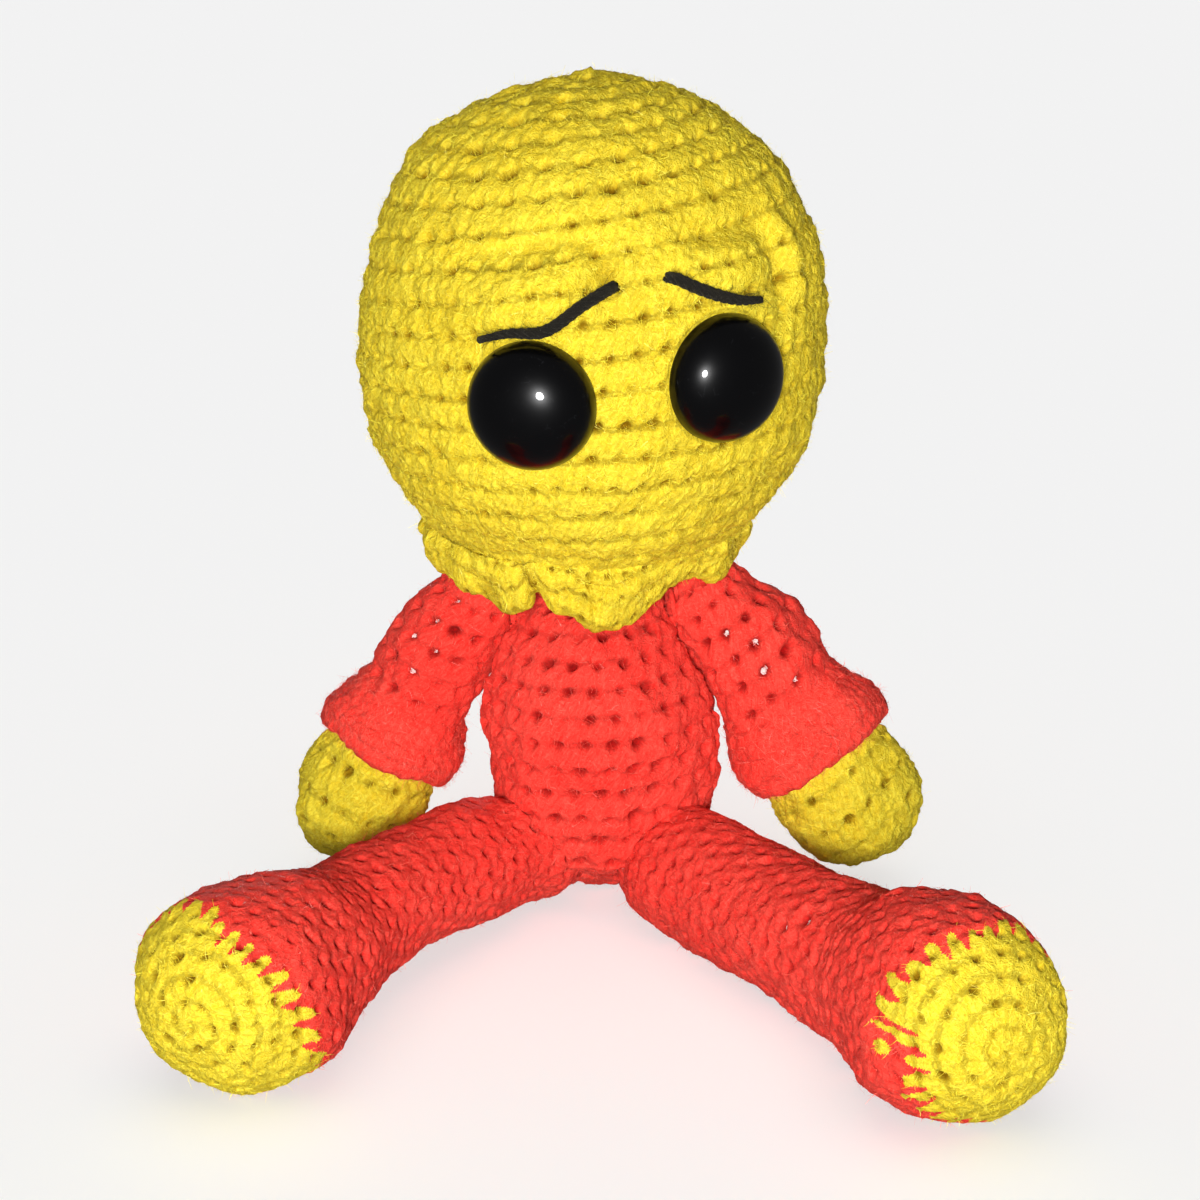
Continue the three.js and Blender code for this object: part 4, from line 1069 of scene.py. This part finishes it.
# ------------------------------------------------------------------ legs and toe caps, worked from the toe to the hip
floor = lambda v: np.concatenate([v[:, :2], np.maximum(v[:, 2:], 0.12)], 1)
leg_axis0 = {}
for side in ("left", "right"):
    line, L, f = leg_line(side)
    body = f"leg_{side}"
    cap = rad(CAP_ANGLE)
    kl, kf = LEG_EASE[side][3:]
    FR, AR, LR = FOOT_R * kf, ANKLE_R * kf, LEG_R * kl
    pr = [(0, L + FR)] + [(FR * math.sin(a), L + FR * math.cos(a)) for a in np.radians(np.arange(8, 84, 8))]
    pr += [(FR, L - 2), (FR - .3, L - 10), (AR + 1.9, L - 18.5), (AR, L - 26), ((LEG_R + 1.2) * kl, 54), ((LEG_R + .4) * kl, 44),
           (LR, 32), (LR, 20), (12.2 * kl, 9)] + arc_pts(HIP_R, 88, 0, 12)
    prof, length = along_profile(pr, 360)
    leg_axis0[side] = line(np.array([0.0]))[1][0]

    def place(q):
        at, tt, u, v = line(q)
        return at, u, v

    pos = revolve(place, prof, 200, True)
    pos[..., 2] = np.maximum(pos[..., 2], 0)
    cl = Cloth(pos, length)
    e = 0.28 * lumps(pos, 20.0, 61 if side == "left" else 62) * smooth(pos[..., 2], 1, 6)
    if side == "left":
        e += trim(pos, (765, 1000, 48, -1.5), (868, 1078, 26, 1.6), (942, 884, 34, -1.1), (1060, 1055, 32, .9), (955, 1122, 40, -.8), (634, 906, 24, 1.7), (790, 838, 30, .6))
    else:
        e += trim(pos, (258, 870, 44, -1.7), (190, 1082, 40, -1.2), (143, 945, 34, .9), (338, 1052, 34, 2.4), (432, 948, 22, -1.2), (540, 896, 28, -.9), (460, 800, 26, 1.3))
    pos = pos + cl.nor * e[..., None]
    pos[..., 2] = np.maximum(pos[..., 2], 0)
    cl = Cloth(pos, length)
    cap_s = FOOT_R * cap
    cr_ = FR - 3.6
    core = [(0, L + cr_)] + [(cr_ * math.sin(a), L + cr_ * math.cos(a)) for a in np.radians(np.arange(10, 84, 10))]
    core += [(cr_, L - 3), (AR - 2.2, L - 18), (AR - 3.8, L - 26), (LR - 2.8, 52), (LR - 3.6, 32), (LR - 3.8, 16), (7.4, 4), (5.0, -3), (0, -5)]
    prof_, len_ = along_profile(core, 150)
    filling(f"leg_fill_{side}", revolve(place, prof_, 100, True), len_, body, f"leg_stuffing_{side}", 2.6)
    counts = [6, 12, 18, 23, 26, 27, 27, 27, 26, 25, 24, 22, 21, 20, 19, 19] + [18] * 15 + [16, 12, 8]
    W_ = Weave(cl, counts, lean=.35, seam=.75, seed=70 if side == "left" else 73, ridge=.62, pit=2.4, jitter=1.1, lump=.22, post=floor,
               rho=3.0, k=.46, bar=.36, slant=.05, leg=(.18, .26), grain=.12, groove_shade=.20,
               relief=lambda base, turn, ss: .60 + .12 * smooth(ss, cap_s - 3, cap_s + 8))
    row_h = length / len(counts)
    top_row = {"left": 5, "right": 5}[side]
    seen = on_photo(W_.co)
    front = ((V(*CAM_AT) - W_.co) * W_.nor).sum(1) > -40
    if side == "left":
        shift = np.interp(seen[:, 1], [900, 930, 960, 975, 1005, 1020, 1035, 1065, 1095, 1120], [1.9, 1.9, 1.7, 1.2, 1.0, 1.0, 2.3, 2.9, 2.2, 1.7]) * (1 - smooth(seen[:, 0], 960, 1020))
    else:
        shift = np.interp(seen[:, 1], [900, 960, 1000, 1030, 1050, 1065, 1085], [1.9, 1.7, 1.1, .4, -.2, -1.1, -1.6]) * (.4 + .6 * smooth(seen[:, 0], 170, 225))
    up = W_.vt - top_row + shift * front
    col = W_.column(np.full(len(up), top_row))
    pick_col = np.floor(col).astype(int)
    g = np.random.default_rng(77 if side == "left" else 78)
    tall, fat = np.clip(g.normal(1.25, .16, 4000), .85, 1.6), np.clip(g.normal(.31, .03, 4000), .24, .38)
    uc = col - pick_col - .5 - .10 * (up - .3)
    tip = np.clip(up / tall[pick_col], 0, 1)
    wide = fat[pick_col] * np.sqrt(1 - tip ** 4) + .15 * np.clip(1 - up / .45, 0, 1)
    yellow = (up < 0) | ((np.abs(uc) < wide) & (up < tall[pick_col]))
    # a stray stitch of the other colour beyond the edge of the cap
    spot = V(883, 1047) if side == "left" else V(326, 1052)
    away = np.linalg.norm(on_photo(W_.co) - spot, axis=1) + np.where(((V(*CAM_AT) - W_.co) * W_.nor).sum(1) > 0, 0, 999)
    hit = int(np.argmin(away))
    r_ = int(W_.row[hit])
    c_ = W_.column(np.full(len(up), r_))
    same = (W_.row == r_) & (np.floor(c_) == np.floor(c_[hit]))
    yellow |= same & ((W_.u / .26) ** 2 + ((W_.v - .5) / .50) ** 2 < 1)
    face_y = yellow[W_.tris].sum(1) >= 2
    W_.piece(f"toe_cap_crochet_{side}", YELLOW, body, faces=face_y, replace=(f"toe_cap_{side}",))
    W_.piece(f"leg_crochet_{side}", RED, body, faces=~face_y, replace=(f"leg_{side}",), cap=False)
    W_.fur(f"toe_cap_fuzz_{side}", YELLOW_ENDS, body, 3.2, 1.25, 64, pick=yellow, post=floor)
    W_.fur(f"leg_fuzz_{side}", RED_ENDS, body, 1.6, 1.2, 71, pick=~yellow, post=floor)
    if side == "left":
        W_.peek(f"leg_fill_peek_{side}", body, [(782, 908, 1.25), (732, 899, .45), (798, 936, .5), (762, 945, .45), (845, 945, .4)])

# ------------------------------------------------------------------ torso
def torso_cloth():
    prof, length = along_profile([(0, 0), (5, 0), (10, 0), *TORSO], 220)
    A = 300
    th = np.arange(A) / A * TAU
    R, Z = prof[:, 0][None], np.maximum(prof[:, 1], 0)[None]
    x = R * np.sin(th)[:, None]
    y = -R * np.cos(th)[:, None]
    z = Z + 0 * x
    pos = np.stack([x, y, z], -1)
    cl = Cloth(pos, length)
    pos = pos + cl.nor * (0.4 * lumps(pos, 20.0, 71) * smooth(z, 2, 10) + trim(pos, (592, 884, 22, -1.6), (486, 760, 30, -1.0), (724, 770, 26, .3)))[..., None]
    pos[..., 0] += NECK_X * smooth(pos[..., 2], 34, 66)
    pos[..., 0] += 1.3 * smooth(-pos[..., 0], 12, 24) * smooth(z, 6, 16) * (1 - smooth(z, 44, 56))
    pos[..., 0] += .7 * smooth(pos[..., 0], 10, 22) * smooth(z, 8, 20) * (1 - smooth(z, 42, 54))
    pos[..., 2] = np.maximum(pos[..., 2], (SEAT_SLOPE + .20) * (-pos[..., 1] - 4))
    for side in ("left", "right"):
        S, w = V(*SHOULDER[side]), unit(V(*ARM_DIR[side]))
        pos = push_out(pos, S, S + V(0, 0, .5), ARM_R + 2.0)
        pos = push_out(pos, S + 8 * w, S + 24 * w, ELBOW_R + 1.2)
        # room for the arm where it swings back and in
        k_ = unit(V(*SWING[side]))
        for deg in (-3.5, -6.8):
            c_, s_ = math.cos(rad(deg)), math.sin(rad(deg))
            w2 = w * c_ + np.cross(k_, w) * s_ + k_ * (k_ @ w) * (1 - c_)
            pos = push_out(pos, S + 8 * w2, S + 26 * w2, ELBOW_R + (1.5 if side == "left" else 1.2))
            pos = push_out(pos, S + 33 * w2, S + 37 * w2, CUFF_R + (1.8 if side == "left" else 1.0))
    pos = pos + cl.nor * trim(pos, (661, 594, 11, .8))[..., None]
    return Cloth(pos, length)


TOR = torso_cloth()
def torso_post(v, more=0.0):
    for side in ("left", "right"):
        H, t = V(*HIP[side]), leg_axis0[side]
        q = (v - H) @ t
        radial = v - H - q[:, None] * t
        rho = np.linalg.norm(radial, axis=1)
        deep_end = HIP_R + 1.3 + more
        seat = -np.sqrt(np.maximum(deep_end ** 2 - rho ** 2, 0))
        seat = np.where(rho > deep_end - 1.2, seat + (rho - deep_end + 1.2) * 9.0, seat)
        inside_leg = (rho < LEG_R + .2 + more) & (q > seat) & (q < 40)
        v = v - np.where(inside_leg, q - seat, 0)[:, None] * t
    return floor(v)


TW = Weave(TOR, [6, 12, 18, 20, 22, 25, 27] + [28] * 4 + [26, 24, 20, 17, 14], lean=.24, seam=.5, seed=80, ridge=.50, pit=2.9, pit_size=1.12,
           lump=.3, post=torso_post, rho=3.0, k=.34, bar=.42, slant=.16, grain=.14, groove_shade=.25)
TW.piece("torso_crochet", RED, "torso", replace=("torso_cover",))
TW.fur("torso_fuzz", RED_ENDS, "torso", 1.6, 1.2, 81, post=torso_post)
# the fill keeps inside its cover where the arms and legs press in
core = (TOR.pos - 4.2 * TOR.nor)[::2, :int(.95 * TOR.S):2]
core = torso_post(core.reshape(-1, 3), 3.2).reshape(core.shape)
filling("torso_fill", core, TOR.length * .95, "torso", "torso_stuffing", 3.6)


# ------------------------------------------------------------------ collar: a thick ruffle sewn in at the neck
def collar_cloth():
    A, S = 360, 140
    th = np.arange(A) / A * TAU          # from the front towards the doll's left
    c2 = np.cos(th) ** 2
    front = smooth(np.cos(th), -.1, .75)
    rows = []
    for i in range(A):
        a = th[i]
        k = c2[i]
        deg = wrap(math.degrees(a))
        # hem height: a point at the front, a scallop on the doll's right front, gentle waves elsewhere
        hem = 77.4 - 6.6 * k
        hem += 3.6 * math.exp(-((deg + 20) / 5.5) ** 2) - 1.6 * math.exp(-((deg + 35) / 9) ** 2) - 1.8 * math.exp(-((deg - 6) / 10) ** 2)
        hem += 2.0 * math.exp(-((deg + 7) / 7) ** 2)
        hem -= .8 * math.exp(-((deg - 20) / 7) ** 2)
        hem += 3.1 * math.exp(-((deg - 38) / 11.5) ** 2) + .35 * math.sin(13 * a) * k + .9 * math.cos(7 * a + .5) * (1 - float(front[i]))
        pull = 1 - 0.16 * k
        near = 1 - (0.115 if math.sin(a) > 0 else 0.062) * (1 - k) - (0.05 if math.sin(a) > 0 else 0) * k
        pull *= near
        wave = 1.0 * math.sin(5 * a + 1.3) * (0.4 + 0.6 * k) + 0.5 * math.sin(11 * a)
        r_top, z_top = 35.6 * (1 - 0.11 * k) * (near + .03), 84.6 - 1.6 * k
        line = [(33.2 * pull, hem + .6), (34.6 * pull, hem - .1), (35.9 * pull + .3 * wave, hem + 1.6), (36.4 * (pull + .01) + .7 * wave, hem + 4.2),
                (r_top + .6 + .4 * wave, max(z_top - 3.4, hem + 6.2)), (r_top - .4, z_top), (r_top - 3.4, float(head_under(r_top - 3.4)) - 1.0),
                (24, float(head_under(24)) - 1.3), (14, float(head_under(14)) - 1.2)]
        pr, ln = along_profile(line, S)
        rows.append(np.stack([NECK_X + pr[:, 0] * math.sin(a), -pr[:, 0] * math.cos(a), pr[:, 1]], -1))
    pos = np.stack(rows)
    # worked from the neck outwards, so distance runs from the inside to the hem
    pos = pos[:, ::-1]
    length = np.linalg.norm(np.diff(pos, axis=1), axis=2).sum(1)
    return pos, length


cpos, clen = collar_cloth()
clen_m = float(clen.mean())
def collar_folds(base, turn, ss):
    """Folds of the ruffle: slanting pleats at its sides, a broad smooth lobe in front with one small bent crease; where
    they press in, the Weave adds painted shade.
    """
    x, y = base[:, 0] - NECK_X, base[:, 1]
    deg = np.degrees(np.arctan2(x, -y))
    z = base[:, 2]
    side = 1 - smooth(np.cos(np.radians(deg - 4)), .72, .96)
    low = smooth(-z, -89, -80)
    e = side * low * (.9 * np.sin(np.radians(deg * 9) + (z - 80) * .32) + .4 * np.sin(np.radians(deg * 17) - z * .2))
    e += 1.1 * np.exp(-((deg - 5) / 15) ** 2) * smooth(-z, -84, -75)
    e -= 1.6 * np.exp(-((deg + 20.5 + (z - 76) * .5) / 2.6) ** 2) * low
    arc = 79.9 - 1.9 * (1 - ((deg - 6) / 9.5) ** 2)
    e -= 1.9 * np.exp(-((z - arc) / .65) ** 2) * (np.abs(deg - 6) < 10)
    return e


COL = Cloth(cpos[::-1], clen_m)
ref = COL.pos - V(NECK_X, 0, 84)
if (COL.nor[:, 70:110] * ref[:, 70:110]).sum() < 0:
    COL.nor = -COL.nor
e = 0.5 * lumps(COL.pos, 14.0, 101) + .15 * lumps(COL.pos, 6.0, 102)
COL2 = Cloth(COL.pos + COL.nor * e[..., None], clen_m)
if (COL2.nor * COL.nor).sum() < 0:
    COL2.nor = -COL2.nor
CW = Weave(COL2, [24, 36, 48, 54, 54, 54, 54], lean=.2, seam=.5, seed=90, ridge=.40, pit=1.0, rho=2.8, jitter=1.3, lump=.3, k=.36, bar=.3, grain=.15, uneven=collar_folds)
CW.piece("collar_crochet", YELLOW, "neck", replace=("collar",), cap=False)
CW.fur("collar_fuzz", YELLOW_ENDS, "neck", 5.0, 1.2, 91, pick=CW.s < clen_m - 3.2)


# ------------------------------------------------------------------ sewing yarn: whip stitches round each joint
def whip(name, centre, axis, ring_r, along, count, material, body, node, R=.6, reach=2.4, seed=3):
    u, v_, w = basis(axis)
    M, K = count, 9
    g = np.random.default_rng(seed)
    a0 = np.arange(M) / M * TAU
    t = np.linspace(0, 1, K)
    ang = a0[:, None] + (t[None] - .5) * TAU / M * 1.5
    bow = np.sin(t * math.pi)[None]
    rr = ring_r + .5 * bow + g.normal(0, .05, (M, 1))
    zz = along + reach * (t[None] - .5) + g.normal(0, .12, (M, 1))
    d = np.cos(ang)[..., None] * u + np.sin(ang)[..., None] * v_
    C = centre + rr[..., None] * d + zz[..., None] * w
    bag = Bag()
    bag.tubes(C, np.full((M, K), R), d, sides=8, seed=seed)
    ob = bag.make(name, [material])
    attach(ob, body), ob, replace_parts(ob, node)
    return ob


whip("neck_whip", V(NECK_X, 0, NECK_PIVOT_Z), V(0, 0, 1), 10.4, 0, 22, YELLOW, "neck", "neck_seam", R=.75, reach=1.8)
for side in ("left", "right"):
    s = SIDE[side]
    rs, ang = ARM_R + 1.05, rad(36)
    whip(f"shoulder_whip_{side}", V(*SHOULDER[side]), V(-s, 0, 0), rs * math.sin(ang), rs * math.cos(ang), 14, RED, f"shoulder_{side}",
         f"shoulder_seam_{side}", R=.5, reach=1.0, seed=4)
    H = V(*HIP[side])
    rs, ang = HIP_R + .95, rad(42)
    whip(f"hip_whip_{side}", H, V(-H[0], -H[1], 3), rs * math.sin(ang), rs * math.cos(ang), 16, RED, f"hip_{side}",
         f"hip_seam_{side}", R=.5, reach=.9, seed=5)

# the inner fill of the head keeps its CAD solid, with a fibre material
for n_ in ("head_stuffing",):
    nodes[n_].data.materials.clear()
    nodes[n_].data.materials.append(FILL)

# ------------------------------------------------------------------ stage, light and camera
me = bpy.data.meshes.new("floor")
me.from_pydata([(-6, -6, 0), (6, -6, 0), (6, 9, 0), (-6, 9, 0)], [], [(0, 1, 2, 3)])
floor_ob = bpy.data.objects.new("floor", me)
bpy.context.scene.collection.objects.link(floor_ob)
fm, ft, fb = node_material("floor_paint")
fb.inputs["Base Color"].default_value = (.90, .90, .90, 1)
fb.inputs["Roughness"].default_value = 1.0
fb.inputs["Specular IOR Level"].default_value = 0.0
me.materials.append(fm)
# pale wall far behind the floor, all round
n_ = 64
ring = [(14 * math.cos(i / n_ * TAU), 14 * math.sin(i / n_ * TAU)) for i in range(n_)]
me = bpy.data.meshes.new("wall")
me.from_pydata([(x, y, z) for z in (-6, 16) for x, y in ring], [], [(i, (i + 1) % n_, n_ + (i + 1) % n_, n_ + i) for i in range(n_)])
wall = bpy.data.objects.new("wall", me)
bpy.context.scene.collection.objects.link(wall)
wm, wt, wb = node_material("wall_paint")
wb.inputs["Base Color"].default_value = (0, 0, 0, 1)
wb.inputs["Specular IOR Level"].default_value = 0.0
wb.inputs["Emission Color"].default_value = (.89, .89, .89, 1)
wb.inputs["Emission Strength"].default_value = 1.0
me.materials.append(wm)
wall.visible_diffuse = wall.visible_glossy = wall.visible_shadow = wall.visible_transmission = False

world = bpy.data.worlds.new("studio")
bpy.context.scene.world = world
world.use_nodes = True
bg = next(n for n in world.node_tree.nodes if n.type == "BACKGROUND")
bg.inputs[0].default_value = (1, 1, 1, 1)
bg.inputs[1].default_value = 0.125


def lamp(name, loc, aim, size, power, color=(1, 1, 1)):
    d = bpy.data.lights.new(name, "AREA")
    d.shape, d.size, d.energy, d.color = "DISK", size, power, color
    o = bpy.data.objects.new(name, d)
    bpy.context.scene.collection.objects.link(o)
    o.location = loc
    o.rotation_euler = (Vector(aim) - Vector(loc)).to_track_quat("-Z", "Y").to_euler()
    o.light_linking.receiver_collection = all_but_floor
    return o


only_floor = bpy.data.collections.new("floor_only")
only_floor.objects.link(floor_ob)
all_but_floor = bpy.data.collections.new("all_but_floor")
all_but_floor.objects.link(floor_ob)
all_but_floor.collection_objects[0].light_linking.link_state = "EXCLUDE"
lamp("key", (-0.034, -0.60, 0.224), (0, 0, .085), 0.10, 4.6)
lamp("back", (-0.05, 0.85, 0.13), (0, 0, .085), 0.34, 3.4).visible_camera = False
low = lamp("low_fill", (0.02, -0.62, 0.04), (0, 0, .02), 0.16, 0.95)
low.visible_camera = low.visible_glossy = False
sun = bpy.data.lights.new("floor_light", "SUN")
sun.energy, sun.angle = 2.71, rad(60)
sun_ob = bpy.data.objects.new("floor_light", sun)
bpy.context.scene.collection.objects.link(sun_ob)
sun_ob.light_linking.receiver_collection = only_floor
sun_ob.light_linking.blocker_collection = only_floor
floor_ob.visible_diffuse = False
floor_ob.visible_glossy = False

cam = bpy.data.cameras.new("cam")
cam.lens, cam.sensor_width = CAM_LENS, 36.0
cam.clip_start, cam.clip_end = 0.01, 50
cam_ob = bpy.data.objects.new("cam", cam)
bpy.context.scene.collection.objects.link(cam_ob)
cam_ob.location = tuple(c * .001 for c in CAM_AT)
cam_ob.rotation_euler = (math.pi / 2 - CAM_TILT, 0, -CAM_PAN)
bpy.context.scene.camera = cam_ob
bpy.context.scene.view_settings.view_transform = "Standard"
